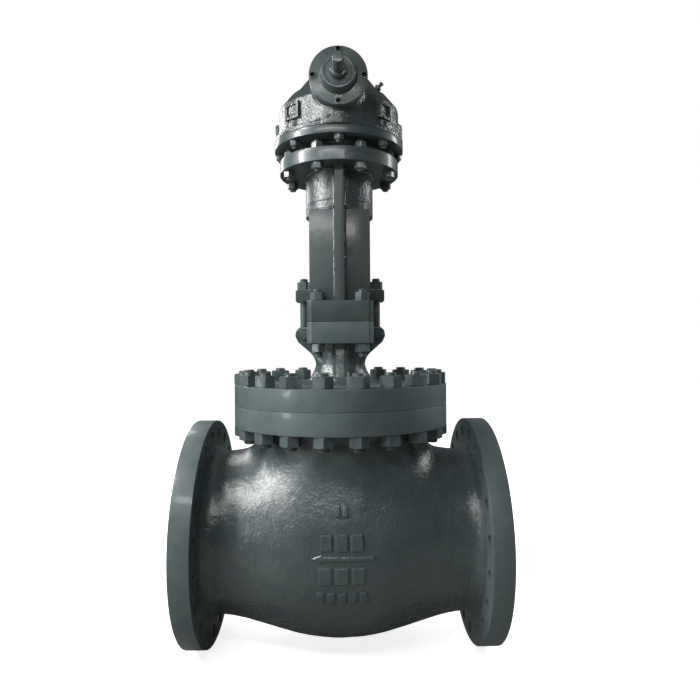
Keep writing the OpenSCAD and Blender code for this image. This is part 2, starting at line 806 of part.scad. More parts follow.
// Races that turn with the sleeve
module thrust_races_turning() color(steel) raised() {
    z = lower_race_z + race_t + ball_gap_h;
    ring(sleeve_r[1], race_r[1] - 1, z, z + race_t);
    ring(sleeve_r[1], race_r[1] - 1, upper_race_z, upper_race_z + race_t);
}

module thrust_balls() color(steel) raised() {
    for (z = [lower_race_z, upper_race_z]) translate([0, 0, z + race_t + ball_gap_h / 2])
        round_copies(18, 66) sphere(r = ball_gap_h / 2 - slide_gap);
}

module bevel_pinion() color(steel) raised() {
    cone = 90 - gear_cone;
    inner_s = cone_length - face_width;
    root = [for (s = [inner_s, cone_length])
        [s * sin(cone) - pinion_dedendum * cos(cone), s * cos(cone) + pinion_dedendum * sin(cone)]];
    difference() {
        union() {
            turned_shaft([[20, root[0][1] - 3], [root[0][0], root[0][1] - 3], root[0], root[1],
                          [root[1][0], 138], [20, 138]]);
            for (i = [0:pinion_teeth - 1]) translate([0, 0, shaft_z]) rotate([90, 0, 0])
                rotate([0, 0, -90 + i * 360 / pinion_teeth]) rotate([0, cone, 0])
                    mirror([1, 0, 0])
                        tooth_prism(-pinion_dedendum - 2, pinion_addendum, pinion_tooth_w, -flank,
                                    inner_s, cone_length);
        }
        key_slot();
    }
}

// Room for the key between the pinion and its shaft
module key_slot() {
    translate([-5, -134, shaft_z + 15]) cube([10, 28, 8]);
}

module pinion_key() color(steel) raised() {
    key_slot();
}

module input_shaft() color(paint) raised() {
    r_end = 15;
    r_seal = 22.5;
    difference() {
        turned_shaft([[0, 98], [18, 98], [20, 100], [20, 138], [bearing_r[0], 138],
                      [bearing_r[0], 198], [r_seal, 199], [r_seal, shaft_step_y - 2],
                      [r_seal - 2, shaft_step_y], [r_end, shaft_step_y], [r_end, shaft_end_y - 2],
                      [r_end - 2, shaft_end_y], [0, shaft_end_y]]);
        key_slot();
        translate([-4, -shaft_end_y - 1, shaft_z + r_end - 4]) cube([8, 25, 5]);
    }
}

// A torus-shaped groove for the balls of one shaft bearing
module ball_groove(y) {
    translate([0, -y - bearing_w / 2, shaft_z]) rotate([90, 0, 0])
        rotate_extrude() translate([ball_pitch_r, 0]) circle(r = shaft_ball_r + slide_gap);
}

module bearing_ring(r_in, r_out) {
    for (y = bearing_y) difference() {
        turned_shaft([[r_in, y], [r_out, y], [r_out, y + bearing_w], [r_in, y + bearing_w]]);
        ball_groove(y);
    }
}

module shaft_bearing_outer() color(steel) raised() {
    bearing_ring(43.5, bearing_r[1]);
}

module shaft_bearing_inner() color(steel) raised() {
    bearing_ring(bearing_r[0], 34);
}

module shaft_bearing_balls() color(steel) raised() {
    for (y = bearing_y, i = [0:8]) translate([0, -y - bearing_w / 2, shaft_z])
        rotate([0, 40 * i, 0]) translate([ball_pitch_r, 0, 0]) sphere(r = shaft_ball_r);
}

module bearing_spacer() color(steel) raised() {
    turned_shaft([[bearing_r[0], bearing_y[0] + bearing_w], [34, bearing_y[0] + bearing_w],
                  [34, bearing_y[1]], [bearing_r[0], bearing_y[1]]]);
}

module bearing_cap() color(paint) raised() {
    nose_y = 246;
    difference() {
        turned_shaft([[36, cap_y[0] - 5], [bearing_r[1], cap_y[0] - 5], [bearing_r[1], cap_y[0]],
                      [76, cap_y[0]], [78, cap_y[0] + 2], [78, cap_y[1] - 2], [76, cap_y[1]],
                      [50, cap_y[1]], [44, nose_y], [36, nose_y], [36, nose_y - 10],
                      [24, nose_y - 10], [24, cap_y[0] - 2], [36, cap_y[0] - 2]]);
        for (i = [0:3]) translate([0, 0, shaft_z]) rotate([90, 90 * i, 0])
            translate([cap_screw_r, 0, 0]) {
                translate([0, 0, cap_y[0] - 1]) cylinder(r = 6.5, h = 20);
                translate([0, 0, cap_y[1] - 8]) cylinder(r = 9.6, h = 20);
            }
    }
}

module cap_screws() color(steel) raised() {
    for (i = [0:3]) translate([0, 0, shaft_z]) rotate([90, 90 * i, 0])
        translate([cap_screw_r, 0, 0]) difference() {
            union() {
                translate([0, 0, cap_y[0] - 12]) cylinder(r = 6, h = 20);
                translate([0, 0, cap_y[1] - 8]) cylinder(r = 9, h = 10);
            }
            translate([0, 0, cap_y[1] - 4]) cylinder(r = 5.8, h = 10, $fn = 6);
        }
}

module shaft_seal() color(graphite) raised() {
    turned_shaft([[22.55, 237], [36, 237], [36, 245], [22.55, 245]]);
}

body();
seat_ring();
disc();
disc_nut();
stem();
bonnet_gasket();
bonnet();
backseat_bush();
bonnet_studs();
bonnet_nuts();
packing_rings();
gland_bush();
gland_flange();
eye_bolt_pins();
eye_bolt_left();
eye_bolt_right();
gland_nut_left();
gland_nut_right();
yoke();
yoke_studs();
yoke_nuts();
stem_guide_front();
stem_guide_rear();
guide_bolts();
operator_base();
operator_studs();
operator_nuts();
gear_case();
case_studs();
case_nuts();
drive_sleeve();
stem_nut();
lock_ring();
bevel_gear();
gear_key();
thrust_races_fixed();
thrust_races_turning();
thrust_balls();
bevel_pinion();
pinion_key();
input_shaft();
shaft_bearing_outer();
shaft_bearing_inner();
shaft_bearing_balls();
bearing_spacer();
bearing_cap();
cap_screws();
shaft_seal();
stem_cover();
cover_screws();
grease_fitting();
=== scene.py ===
"""Looks of a bolted-bonnet globe valve with a welded yoke and a bevel gear operator.

Pieces are built in millimetres, with heights measured from the pipe axis, and put into the frame by place().
"""
import json
import math

import bmesh
import bpy
import numpy as np
from mathutils import Matrix, Vector, noise


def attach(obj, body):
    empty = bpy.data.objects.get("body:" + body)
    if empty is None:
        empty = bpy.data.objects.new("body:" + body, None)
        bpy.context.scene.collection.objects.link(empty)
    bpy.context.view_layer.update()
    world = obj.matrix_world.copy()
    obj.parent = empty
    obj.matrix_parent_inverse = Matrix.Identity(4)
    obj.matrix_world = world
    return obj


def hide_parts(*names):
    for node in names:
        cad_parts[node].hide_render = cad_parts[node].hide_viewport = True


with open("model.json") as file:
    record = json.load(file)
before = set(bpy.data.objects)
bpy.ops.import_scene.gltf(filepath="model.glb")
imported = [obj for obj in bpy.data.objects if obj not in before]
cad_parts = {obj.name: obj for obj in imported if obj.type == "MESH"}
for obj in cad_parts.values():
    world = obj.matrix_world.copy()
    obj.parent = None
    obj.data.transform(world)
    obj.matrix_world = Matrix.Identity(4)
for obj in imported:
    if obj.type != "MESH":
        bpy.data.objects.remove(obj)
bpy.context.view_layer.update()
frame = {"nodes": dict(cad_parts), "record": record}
NODES = frame["nodes"]
scene = bpy.context.scene

AXIS = 323.85  # height of the pipe axis above the ground
TAU = 2 * math.pi

# ---------------------------------------------------------------- mesh building


def block(verts, faces, material=0):
    """Loose object in millimetres, a building block for the pieces below.

    Material is one slot number, or one for each face.
    """
    mesh = bpy.data.meshes.new("block")
    mesh.from_pydata(np.asarray(verts, float).tolist(), [], [list(map(int, f)) for f in faces])
    slots = np.broadcast_to(material, len(faces))
    bm = bmesh.new()
    bm.from_mesh(mesh)
    bmesh.ops.recalc_face_normals(bm, faces=bm.faces)
    for f, slot in zip(bm.faces, slots):
        f.material_index = int(slot)
    bm.to_mesh(mesh)
    bm.free()
    ob = bpy.data.objects.new("block", mesh)
    scene.collection.objects.link(ob)
    return ob


def moved(ob, *steps):
    for m in steps:
        ob.data.transform(m)
    return ob


def shift(x, y, z):
    return Matrix.Translation((x, y, z))


def turn(angle, axis="Z"):
    return Matrix.Rotation(math.radians(angle), 4, axis)


def drop(ob):
    mesh = ob.data
    bpy.data.objects.remove(ob)
    if mesh.users == 0:
        bpy.data.meshes.remove(mesh)


def copies(ob, steps):
    """One mesh made of a copy of ob for each matrix."""
    n = len(ob.data.vertices)
    co = np.zeros(n * 3)
    ob.data.vertices.foreach_get("co", co)
    co = np.c_[co.reshape(-1, 3), np.ones(n)]
    faces = [list(p.vertices) for p in ob.data.polygons]
    material = [p.material_index for p in ob.data.polygons] * len(steps)
    verts = np.vstack([(co @ np.array(m).T)[:, :3] for m in steps])
    all_faces = [[i + k * n for i in f] for k in range(len(steps)) for f in faces]
    drop(ob)
    return block(verts, all_faces, material)


def joined(obs):
    """Several blocks as one mesh, none of them merged with another."""
    bm = bmesh.new()
    for ob in obs:
        bm.from_mesh(ob.data)
        drop(ob)
    mesh = bpy.data.meshes.new("block")
    bm.to_mesh(mesh)
    bm.free()
    ob = bpy.data.objects.new("block", mesh)
    scene.collection.objects.link(ob)
    return ob


def ring_steps(n, r, start=0.0):
    return [turn(start + 360 * i / n) @ shift(r, 0, 0) for i in range(n)]


def boolean(base, tools, op="DIFFERENCE"):
    """Base united with, or cut by, each tool in turn. The tools are used up."""
    for tool in tools:
        m = base.modifiers.new("cut", "BOOLEAN")
        m.object, m.operation, m.solver = tool, op, "MANIFOLD"
        mesh = bpy.data.meshes.new_from_object(base.evaluated_get(bpy.context.evaluated_depsgraph_get()))
        base.modifiers.clear()
        old = base.data
        base.data = mesh
        bpy.data.meshes.remove(old)
        drop(tool)
    return base


def arc(cx, cy, r, a0, a1, n=8):
    return [(cx + r * math.cos(math.radians(a0 + (a1 - a0) * i / n)),
             cy + r * math.sin(math.radians(a0 + (a1 - a0) * i / n))) for i in range(n + 1)]


def soft(points, r, closed=False, n=3):
    """The same outline with its corners rounded. Ends of an open outline stay sharp."""
    out = []
    for i, p in enumerate(points):
        if not closed and i in (0, len(points) - 1):
            out.append(p)
            continue
        p = Vector(p)
        a, b = Vector(points[i - 1]) - p, Vector(points[(i + 1) % len(points)]) - p
        angle = a.angle(b) if a.length > 1e-6 and b.length > 1e-6 else math.pi
        if angle > math.radians(165):
            out.append(tuple(p))
            continue
        t = min(r / math.tan(angle / 2), 0.42 * a.length, 0.42 * b.length)
        p0, p1 = p + a.normalized() * t, p + b.normalized() * t
        for k in range(n + 1):
            u = k / n
            out.append(tuple(p0 * (1 - u) ** 2 + p * 2 * u * (1 - u) + p1 * u * u))
    return out


def turned(points, seg=72, edge=0.0, material=0):
    """Solid of revolution about Z from (radius, height) points. It is a ring if no point lies on the axis."""
    is_ring = all(p[0] > 1e-6 for p in points)
    if edge:
        points = soft(points, edge, closed=is_ring)
    verts, rows = [], []
    for r, z in points:
        if r < 1e-6:
            rows.append([len(verts)] * seg)
            verts.append((0, 0, z))
        else:
            rows.append(list(range(len(verts), len(verts) + seg)))
            verts += [(r * math.cos(TAU * k / seg), r * math.sin(TAU * k / seg), z) for k in range(seg)]
    faces = []
    for i in range(len(rows) if is_ring else len(rows) - 1):
        a, b = rows[i], rows[(i + 1) % len(rows)]
        for k in range(seg):
            j = (k + 1) % seg
            face = list(dict.fromkeys([a[k], a[j], b[j], b[k]]))
            if len(face) > 2:
                faces.append(face)
    return block(verts, faces, material)


SHAFT_Z = 1258.0  # height of the input shaft
# What was turned about Z is then turned about the input shaft, with heights towards -Y
TO_SHAFT = shift(0, 0, SHAFT_Z) @ turn(90, "X")
# What was turned about Z is then turned about the pipe axis, with heights towards +X
TO_PIPE = turn(90, "Y")


def slab(outline, z0, z1, edge=2.0, seg=2, material=0):
    """Prism with rounded edges."""
    n = len(outline)
    verts = [(x, y, z) for z in (z0, z1) for x, y in outline]
    faces = [list(range(n)), list(range(n, 2 * n))]
    faces += [[i, (i + 1) % n, n + (i + 1) % n, n + i] for i in range(n)]
    ob = block(verts, faces, material)
    if edge:
        bm = bmesh.new()
        bm.from_mesh(ob.data)
        sharp = [e for e in bm.edges if e.calc_face_angle(0) > math.radians(25)]
        bmesh.ops.bevel(bm, geom=sharp, offset=edge, segments=seg, profile=0.6, affect="EDGES",
                        clamp_overlap=True)
        bm.to_mesh(ob.data)
        bm.free()
    return ob


def box(x0, x1, y0, y1, z0, z1, edge=2.0, material=0):
    return slab([(x0, y0), (x1, y0), (x1, y1), (x0, y1)], z0, z1, edge, material=material)


def rod(r, z0, z1, seg=32, material=0):
    return turned([(0, z0), (r, z0), (r, z1), (0, z1)], seg, material=material)


def hexagon(corner):
    return [(corner * math.cos(TAU * k / 6), corner * math.sin(TAU * k / 6)) for k in range(6)]


def hex_nut(af, h, bore):
    """Hexagon nut standing on z = 0, with both ends chamfered and a countersunk hole."""
    corner = af / math.sqrt(3)
    body = slab(hexagon(corner), 0, h, 0.9)
    low = (corner - af / 2) * 1.15
    cone = turned([(0, 0.01), (af / 2 - 0.4, 0.01), (corner + 0.5, low * 0.55),
                   (corner + 0.5, h - low * 0.6), (af / 2 - 0.6, h - 0.01), (0, h - 0.01)], 48)
    boolean(body, [cone], "INTERSECT")
    hole = turned([(0, -1), (bore + 1.8, -1), (bore, 1.2), (bore, h - 1.2), (bore + 1.8, h + 1),
                   (0, h + 1)], 32)
    return boolean(body, [hole])


def threaded(r, z0, z1, pitch, threads):
    """Rod from z0 to z1 with helical threads in each (low, high) span. They are half filled with paint."""
    depth, seg, cham = 0.26 * pitch, 24, 1.6
    heights = {z0 + cham, z1 - cham}
    for lo, hi in threads:
        lo, hi = max(lo, z0 + cham), min(hi, z1 - cham)
        heights |= set(np.linspace(lo, hi, max(2, int((hi - lo) / pitch * 6) + 1)).round(4).tolist())
    heights = sorted(heights)

    def weight(z):
        return max([min(1, (z - lo) / pitch, (hi - z) / pitch) for lo, hi in threads if lo <= z <= hi] or [0])

    verts, rows = [(0, 0, z0)], [[0] * seg]

    def add_row(z, base, w):
        rows.append(list(range(len(verts), len(verts) + seg)))
        for k in range(seg):
            phase = (z / pitch - k / seg) % 1
            cut = depth * w * min(1, max(0, 1.25 - abs(phase - 0.5) * 4 * 0.8))
            verts.append(((base - cut) * math.cos(TAU * k / seg), (base - cut) * math.sin(TAU * k / seg), z))

    add_row(z0, r - cham - 0.3, 0)
    for z in heights:
        at_end = z - z0 <= cham + 1e-6 or z1 - z <= cham + 1e-6
        add_row(z, r - (0.5 if at_end else 0), max(0, weight(z)))
    add_row(z1, r - cham - 0.3, 0)
    rows.append([len(verts)] * seg)
    verts.append((0, 0, z1))
    faces = []
    for a, b in zip(rows, rows[1:]):
        for k in range(seg):
            j = (k + 1) % seg
            face = list(dict.fromkeys([a[k], a[j], b[j], b[k]]))
            if len(face) > 2:
                faces.append(face)
    return block(verts, faces)


def bead(path, r=4.5, closed=False, seed=0):
    """Weld bead laid along a path of points: a rippled tube with closed ends."""
    pts = [Vector(p) for p in path]
    if closed:
        pts.append(pts[0])
    lengths = np.cumsum([0] + [(b - a).length for a, b in zip(pts, pts[1:])])
    count = max(4, int(lengths[-1] / 2.2))
    steps = np.linspace(0, lengths[-1], count, endpoint=not closed)
    verts, seg = [], 10
    for i, s in enumerate(steps):
        k = min(int(np.searchsorted(lengths, s, side="right")) - 1, len(pts) - 2)
        along = pts[k + 1] - pts[k]
        p = pts[k] + along * ((s - lengths[k]) / max(along.length, 1e-9))
        along.normalize()
        side = along.orthogonal().normalized() if abs(along.z) < 0.9 else Vector((1, 0, 0))
        up = along.cross(side)
        wave = 1 + 0.13 * math.sin(s / 5.2 * TAU) + 0.3 * noise.noise(Vector((s * 0.06, seed * 7.3, 0)))
        if not closed and i in (0, count - 1):
            wave *= 0.45
        lean = 1.2 * noise.noise(Vector((s * 0.045, seed * 3.1, 5)))
        for q in range(seg):
            a = TAU * q / seg
            verts.append(p + side * (r * wave * math.cos(a) + lean) + up * (r * wave * math.sin(a) + lean))
    faces = []
    for i in range(count if closed else count - 1):
        for q in range(seg):
            w = (q + 1) % seg
            j = (i + 1) % count
            faces.append([i * seg + q, i * seg + w, j * seg + w, j * seg + q])
    if not closed:
        faces += [list(range(seg)), [(count - 1) * seg + q for q in range(seg)]]
    return block(verts, faces)


# ---------------------------------------------------------------- castings as smooth fields


def blend(a, b, k):
    """Union of two distance fields with a fillet of size k."""
    h = np.clip(0.5 + 0.5 * (b - a) / k, 0, 1)
    return b + (a - b) * h - k * h * (1 - h)


def capped(rho, r, t, lo, hi):
    """Distance to a cylinder of radius r between lo and hi along its axis."""
    q1, q2 = rho - r, np.maximum(lo - t, t - hi)
    return np.minimum(np.maximum(q1, q2), 0) + np.hypot(np.maximum(q1, 0), np.maximum(q2, 0))


def cuboid(x, y, z, lo, hi, r=0.0):
    qs = [np.maximum(l - c, c - h) + r for c, l, h in zip((x, y, z), lo, hi)]
    outside = np.sqrt(sum(np.maximum(q, 0) ** 2 for q in qs))
    return outside + np.minimum(np.maximum(np.maximum(qs[0], qs[1]), qs[2]), 0) - r


def polygon_field(u, v, points):
    """Signed distance to a closed polygon in the plane."""
    best, inside = np.full(u.shape, 1e18), np.zeros(u.shape, bool)
    for (ax, ay), (bx, by) in zip(points, points[1:] + points[:1]):
        ex, ey = bx - ax, by - ay
        t = np.clip(((u - ax) * ex + (v - ay) * ey) / (ex * ex + ey * ey), 0, 1)
        best = np.minimum(best, (u - ax - t * ex) ** 2 + (v - ay - t * ey) ** 2)
        if ay != by:
            crosses = (ay > v) != (by > v)
            inside ^= crosses & (u < ax + (v - ay) / (by - ay) * ex)
    return np.where(inside, -1, 1) * np.sqrt(best)


def gradient(field, p, e=0.5):
    g = np.empty_like(p)
    for k in range(3):
        a, b = p.copy(), p.copy()
        a[:, k] += e
        b[:, k] -= e
        g[:, k] = (field(*a.T) - field(*b.T)) / (2 * e)
    return g


def settle(field, p, level=0.0, rounds=3):
    """Moves points onto the surface where the field equals level."""
    for _ in range(rounds):
        g = gradient(field, p)
        p = p - ((field(*p.T) - level) / np.maximum((g * g).sum(1), 1e-3))[:, None] * g
    return p


def cast(field, lo, hi, step, lumps=0.5, seed=0.0):
    """Closed skin of the places where the field is negative, with the gentle unevenness of a sand casting."""
    axes = [np.arange(a, b + step, step) for a, b in zip(lo, hi)]
    grid = np.meshgrid(*axes, indexing="ij")
    f = field(*grid)
    shape = tuple(n - 1 for n in f.shape)
    place_sum, count, quads = np.zeros((np.prod(shape), 3)), np.zeros(np.prod(shape)), []
    for a in range(3):
        first, second = [slice(None)] * 3, [slice(None)] * 3
        first[a], second[a] = slice(None, -1), slice(1, None)
        f0, f1 = f[tuple(first)], f[tuple(second)]
        at = np.argwhere((f0 < 0) != (f1 < 0))
        v0, v1 = f0[tuple(at.T)], f1[tuple(at.T)]
        point = at.astype(float)
        point[:, a] += v0 / (v0 - v1)
        b, c = (a + 1) % 3, (a + 2) % 3
        corners = []
        for db, dc in ((0, 0), (-1, 0), (-1, -1), (0, -1)):
            cell = at.copy()
            cell[:, b] += db
            cell[:, c] += dc
            index = np.ravel_multi_index(tuple(cell.T), shape)
            np.add.at(place_sum, index, point)
            np.add.at(count, index, 1)
            corners.append(index)
        corners = np.array(corners).T
        corners[v0 > 0] = corners[v0 > 0][:, ::-1]
        quads.append(corners)
    used = np.flatnonzero(count)
    new = np.full(len(count), -1)
    new[used] = np.arange(len(used))
    quads = new[np.vstack(quads)]
    p = place_sum[used] / count[used][:, None] * step + np.array(lo)
    edges = np.vstack([quads[:, [0, 1]], quads[:, [1, 2]], quads[:, [2, 3]], quads[:, [3, 0]]])
    degree = np.bincount(edges.ravel(), minlength=len(p))[:, None]
    for _ in range(6):
        total = np.zeros_like(p)
        np.add.at(total, edges[:, 0], p[edges[:, 1]])
        np.add.at(total, edges[:, 1], p[edges[:, 0]])
        p = settle(field, 0.5 * p + 0.5 * total / degree, rounds=1)
    p = settle(field, p, rounds=2)
    normal = gradient(field, p)
    normal /= np.maximum(np.linalg.norm(normal, axis=1), 1e-6)[:, None]
    s = Vector((seed, seed * 1.7, -seed))
    rough = np.array([noise.noise(Vector(q) * 0.021 + s) + 0.45 * noise.noise(Vector(q) * 0.062 + s)
                      for q in p])
    return block(p + normal * (rough * lumps)[:, None], quads)


def mark(field, stations, z_mid, height=4.0):
    """Raised cast mark on the front of a casting: a strip along X with a half width at each station."""
    edge, inner = 2.4, np.linspace(-1, 1, 9)
    verts, n = [], len(inner) + 6
    for i, (x, w) in enumerate(stations):
        top = height * (0.55 if i in (0, len(stations) - 1) else 1)
        flat = max(w - edge, 0.2)
        section = [(-w - 1.6, -5), (-w - 0.8, 0.5), (-w, top * 0.6)] + [(flat * k, top) for k in inner]
        section += [(w, top * 0.6), (w + 0.8, 0.5), (w + 1.6, -5)]
        verts += [(x, z_mid + v, h) for v, h in section]
    verts = np.array(verts)
    start = np.c_[verts[:, 0], np.full(len(verts), -270.0), verts[:, 1]]
    skin = settle(field, start, 0.0, 6)
    out = gradient(field, skin)
    out /= np.linalg.norm(out, axis=1)[:, None]
    faces = [[i * n + k, i * n + (k + 1) % n, (i + 1) * n + (k + 1) % n, (i + 1) * n + k]
             for i in range(len(stations) - 1) for k in range(n)]
    faces += [list(range(n)), [(len(stations) - 1) * n + k for k in range(n)]]
    return block(skin + out * verts[:, 2:], faces)


# ---------------------------------------------------------------- materials


class Shader:
    """Short way to write a node material."""

    def __init__(self, name):
        self.mat = bpy.data.materials.new(name)
        self.mat.use_nodes = True
        self.tree = self.mat.node_tree
        self.tree.nodes.clear()
        self.where = self.node("ShaderNodeTexCoord").outputs["Object"]
        self.geo = self.node("ShaderNodeNewGeometry")

    def node(self, kind, inputs=(), **props):
        nd = self.tree.nodes.new(kind)
        for k, v in props.items():
            setattr(nd, k, v)
        for k, v in dict(inputs).items():
            if isinstance(v, bpy.types.NodeSocket):
                self.tree.links.new(v, nd.inputs[k])
            else:
                nd.inputs[k].default_value = v
        return nd

    def noise(self, scale, detail=4.0, rough=0.55, distort=0.0):
        return self.node("ShaderNodeTexNoise", {"Vector": self.where, "Scale": scale, "Detail": detail,
                                                "Roughness": rough, "Distortion": distort}).outputs[0]

    def calc(self, op, a, b=0.0):
        return self.node("ShaderNodeMath", {0: a, 1: b}, operation=op).outputs[0]

    def ramp(self, value, lo, hi, out_lo=0.0, out_hi=1.0):
        return self.node("ShaderNodeMapRange", {"Value": value, "From Min": lo, "From Max": hi,
                                                "To Min": out_lo, "To Max": out_hi}).outputs[0]

    def mix(self, fac, a, b):
        a, b = [(*v, 1.0) if isinstance(v, tuple) and len(v) == 3 else v for v in (a, b)]
        return self.node("ShaderNodeMix", {0: fac, 6: a, 7: b}, data_type="RGBA").outputs[2]

    def bump(self, height, millimetres, below=None):
        ins = {"Height": height, "Distance": millimetres * 0.001, "Strength": 1.0}
        if below is not None:
            ins["Normal"] = below
        return self.node("ShaderNodeBump", ins).outputs[0]

    def axis(self, k):
        return self.node("ShaderNodeSeparateXYZ", {0: self.where}).outputs[k]

    def done(self, colour, rough, normal=None, **more):
        ins = {"Base Color": colour, "Roughness": rough, **more}
        if normal is not None:
            ins["Normal"] = ins["Coat Normal"] = normal
        bsdf = self.node("ShaderNodeBsdfPrincipled", ins)
        self.node("ShaderNodeOutputMaterial", {"Surface": bsdf.outputs[0]})
        return self.mat


def scaled(colour, k):
    return tuple(min(1.0, c * k) for c in colour)


PAINT = (0.062, 0.084, 0.084)


def paint(name, gloss, lump, peel, tint=PAINT, dust=0.5, rub=0.5, coat=0.4, speckle=0.0):
    """Grey-green enamel: patchy tone, dust on what faces up, painted shade in corners, rubbed edges, orange
    peel.
    """
    s = Shader(name)
    broad, mid, small = s.noise(3.2, 3), s.noise(19, 5, 0.62), s.noise(85, 4, 0.6)
    colour = s.mix(s.ramp(broad, 0.32, 0.68), scaled(tint, 0.82), scaled(tint, 1.12))
    warm = scaled((tint[0] * 1.08, tint[1], tint[2] * 0.96), 1.25)
    colour = s.mix(s.ramp(mid, 0.42, 0.72, 0, 0.45), colour, warm)
    colour = s.mix(s.ramp(small, 0.52, 0.8, 0, 0.35), colour, scaled(tint, 0.62))
    point = s.geo.outputs["Pointiness"]
    # Darker where the surface curves inward (low pointiness): painted shade in corners, creases and between
    # parts
    corner_shade = s.calc("MULTIPLY", s.ramp(point, 0.480, 0.42), s.ramp(mid, 0.3, 0.6, 0.5, 1.0))
    colour = s.mix(s.calc("MULTIPLY", corner_shade, 0.45), colour, scaled(tint, 0.38))
    edge = s.calc("MULTIPLY", s.ramp(point, 0.53, 0.62), s.ramp(small, 0.42, 0.62))
    colour = s.mix(s.calc("MULTIPLY", edge, rub), colour, scaled(tint, 2.1))
    up = s.node("ShaderNodeSeparateXYZ", {0: s.geo.outputs["Normal"]}).outputs[2]
    lying = s.calc("MULTIPLY", s.ramp(up, 0.55, 0.98), s.ramp(s.noise(33, 6, 0.7), 0.38, 0.72))
    lying = s.calc("MULTIPLY", lying, dust)
    colour = s.mix(s.calc("MULTIPLY", lying, 0.45), colour, (0.17, 0.178, 0.170))
    rough = s.ramp(mid, 0.3, 0.7, gloss * 0.75, gloss * 1.3)
    rough = s.calc("ADD", rough, s.calc("MULTIPLY", lying, 0.3))
    rough = s.calc("ADD", rough, s.ramp(small, 0.55, 0.85, 0, 0.14))
    normal = s.bump(s.noise(24, 3, 0.5), lump)
    normal = s.bump(s.noise(150, 2, 0.5, distort=0.5), peel, normal)
    normal = s.bump(s.noise(430, 2, 0.5), peel * 0.3 + speckle, normal)
    return s.done(colour, rough, normal, **{"Coat Weight": coat, "Coat Roughness": 0.07, "IOR": 1.5})


def metal(name, colour, rough, grain=0.05, rings=0.0, streak=0.0, oil=0.3):
    """Machined metal with turning marks, oil film and stains."""
    s = Shader(name)
    mid, fine = s.noise(30, 5, 0.6), s.noise(340, 3, 0.6)
    tone = s.mix(s.ramp(mid, 0.3, 0.7), scaled(colour, 0.78), scaled(colour, 1.1))
    stain = scaled((colour[0], colour[1] * 0.8, colour[2] * 0.55), 0.55)
    tone = s.mix(s.ramp(s.noise(9, 5, 0.65), 0.52, 0.75, 0, oil), tone, stain)
    level = s.ramp(mid, 0.3, 0.7, rough * 0.75, rough * 1.35)
    level = s.calc("ADD", level, s.ramp(fine, 0.5, 0.9, 0, 0.2))
    normal = s.bump(fine, grain)
    if rings:
        y, z = s.axis(1), s.calc("SUBTRACT", s.axis(2), AXIS * 0.001)
        radius = s.calc("SQRT", s.calc("ADD", s.calc("MULTIPLY", y, y), s.calc("MULTIPLY", z, z)))
        wave = s.calc("SINE", s.calc("MULTIPLY", radius, TAU / rings * 1000))
        normal = s.bump(wave, 0.12, normal)
    if streak:
        wave = s.calc("SINE", s.calc("MULTIPLY", s.axis(2), TAU / streak * 1000))
        normal = s.bump(wave, 0.02, normal)
    return s.done(tone, level, normal, Metallic=1.0)


def plain(name, colour, rough, sheen=0.0):
    """Dull, slightly uneven material, such as rubber or graphite."""
    s = Shader(name)
    tone = s.mix(s.ramp(s.noise(60, 5, 0.6), 0.3, 0.7), scaled(colour, 0.7), scaled(colour, 1.35))
    level = s.ramp(s.noise(25, 4), 0.3, 0.7, rough * 0.85, min(1.0, rough * 1.15))
    return s.done(tone, level, s.bump(s.noise(300, 4, 0.6), 0.1), Metallic=sheen)


MATERIALS = {
    "cast_paint": paint("cast_paint", 0.24, 2.0, 1.0, coat=0.75, speckle=0.24),
    "machined_paint": paint("machined_paint", 0.38, 0.3, 0.16, tint=scaled(PAINT, 0.8), dust=0.5,
                            rub=0.6, coat=0.25, speckle=0.03),
    "fastener_paint": paint("fastener_paint", 0.36, 0.3, 0.3, tint=scaled(PAINT, 1.05), rub=0.8,
                            coat=0.3),
    "trim_steel": metal("trim_steel", (0.60, 0.60, 0.60), 0.24, streak=1.3),
    "drive_steel": metal("drive_steel", (0.42, 0.42, 0.43), 0.32, oil=0.6),
    "bearing_steel": metal("bearing_steel", (0.72, 0.72, 0.73), 0.12, grain=0.01, oil=0.2),
    "bronze": metal("bronze", (0.62, 0.42, 0.18), 0.3, oil=0.5),
    "graphite": plain("graphite", (0.05, 0.05, 0.054), 0.5, sheen=0.3),
    "seal_rubber": plain("seal_rubber", (0.016, 0.016, 0.017), 0.62),
}
RAW_CAST = paint("raw_cast", 0.6, 0.9, 0.5, tint=(0.088, 0.078, 0.070), dust=0.2, rub=0.3, coat=0.0)
# Lighter copy of the same enamel for flange rims, backs and foot plate sides: painted light, not a different
# paint
LIT_RIM_PAINT = paint("lit_rim_paint", 0.40, 0.3, 0.16, tint=scaled(PAINT, 1.4), dust=0.6, rub=0.6, coat=0.25,
                  speckle=0.03)
# Darker copy of the cast paint for the gear case: painted shade; it also has stronger orange peel
SHADED_CASE_PAINT = paint("shaded_case_paint", 0.24, 2.0, 1.6, tint=scaled(PAINT, 0.6), coat=0.6, speckle=0.3)
RAISED_FACE = metal("raised_face", (0.50, 0.50, 0.49), 0.34, rings=0.8, oil=0.25)
WELD = paint("weld_paint", 0.16, 0.8, 1.0, dust=0.2, rub=1.0, coat=0.9, speckle=0.3)
LUMPY = paint("lumpy_paint", 0.20, 1.4, 1.5, dust=0.2, rub=0.6, coat=0.9, speckle=0.3)
# Near-black colour for the inside of the hex sockets: painted shade of the deep recess
SOCKET_SHADE = plain("socket_shade_black", (0.006, 0.006, 0.006), 0.7)


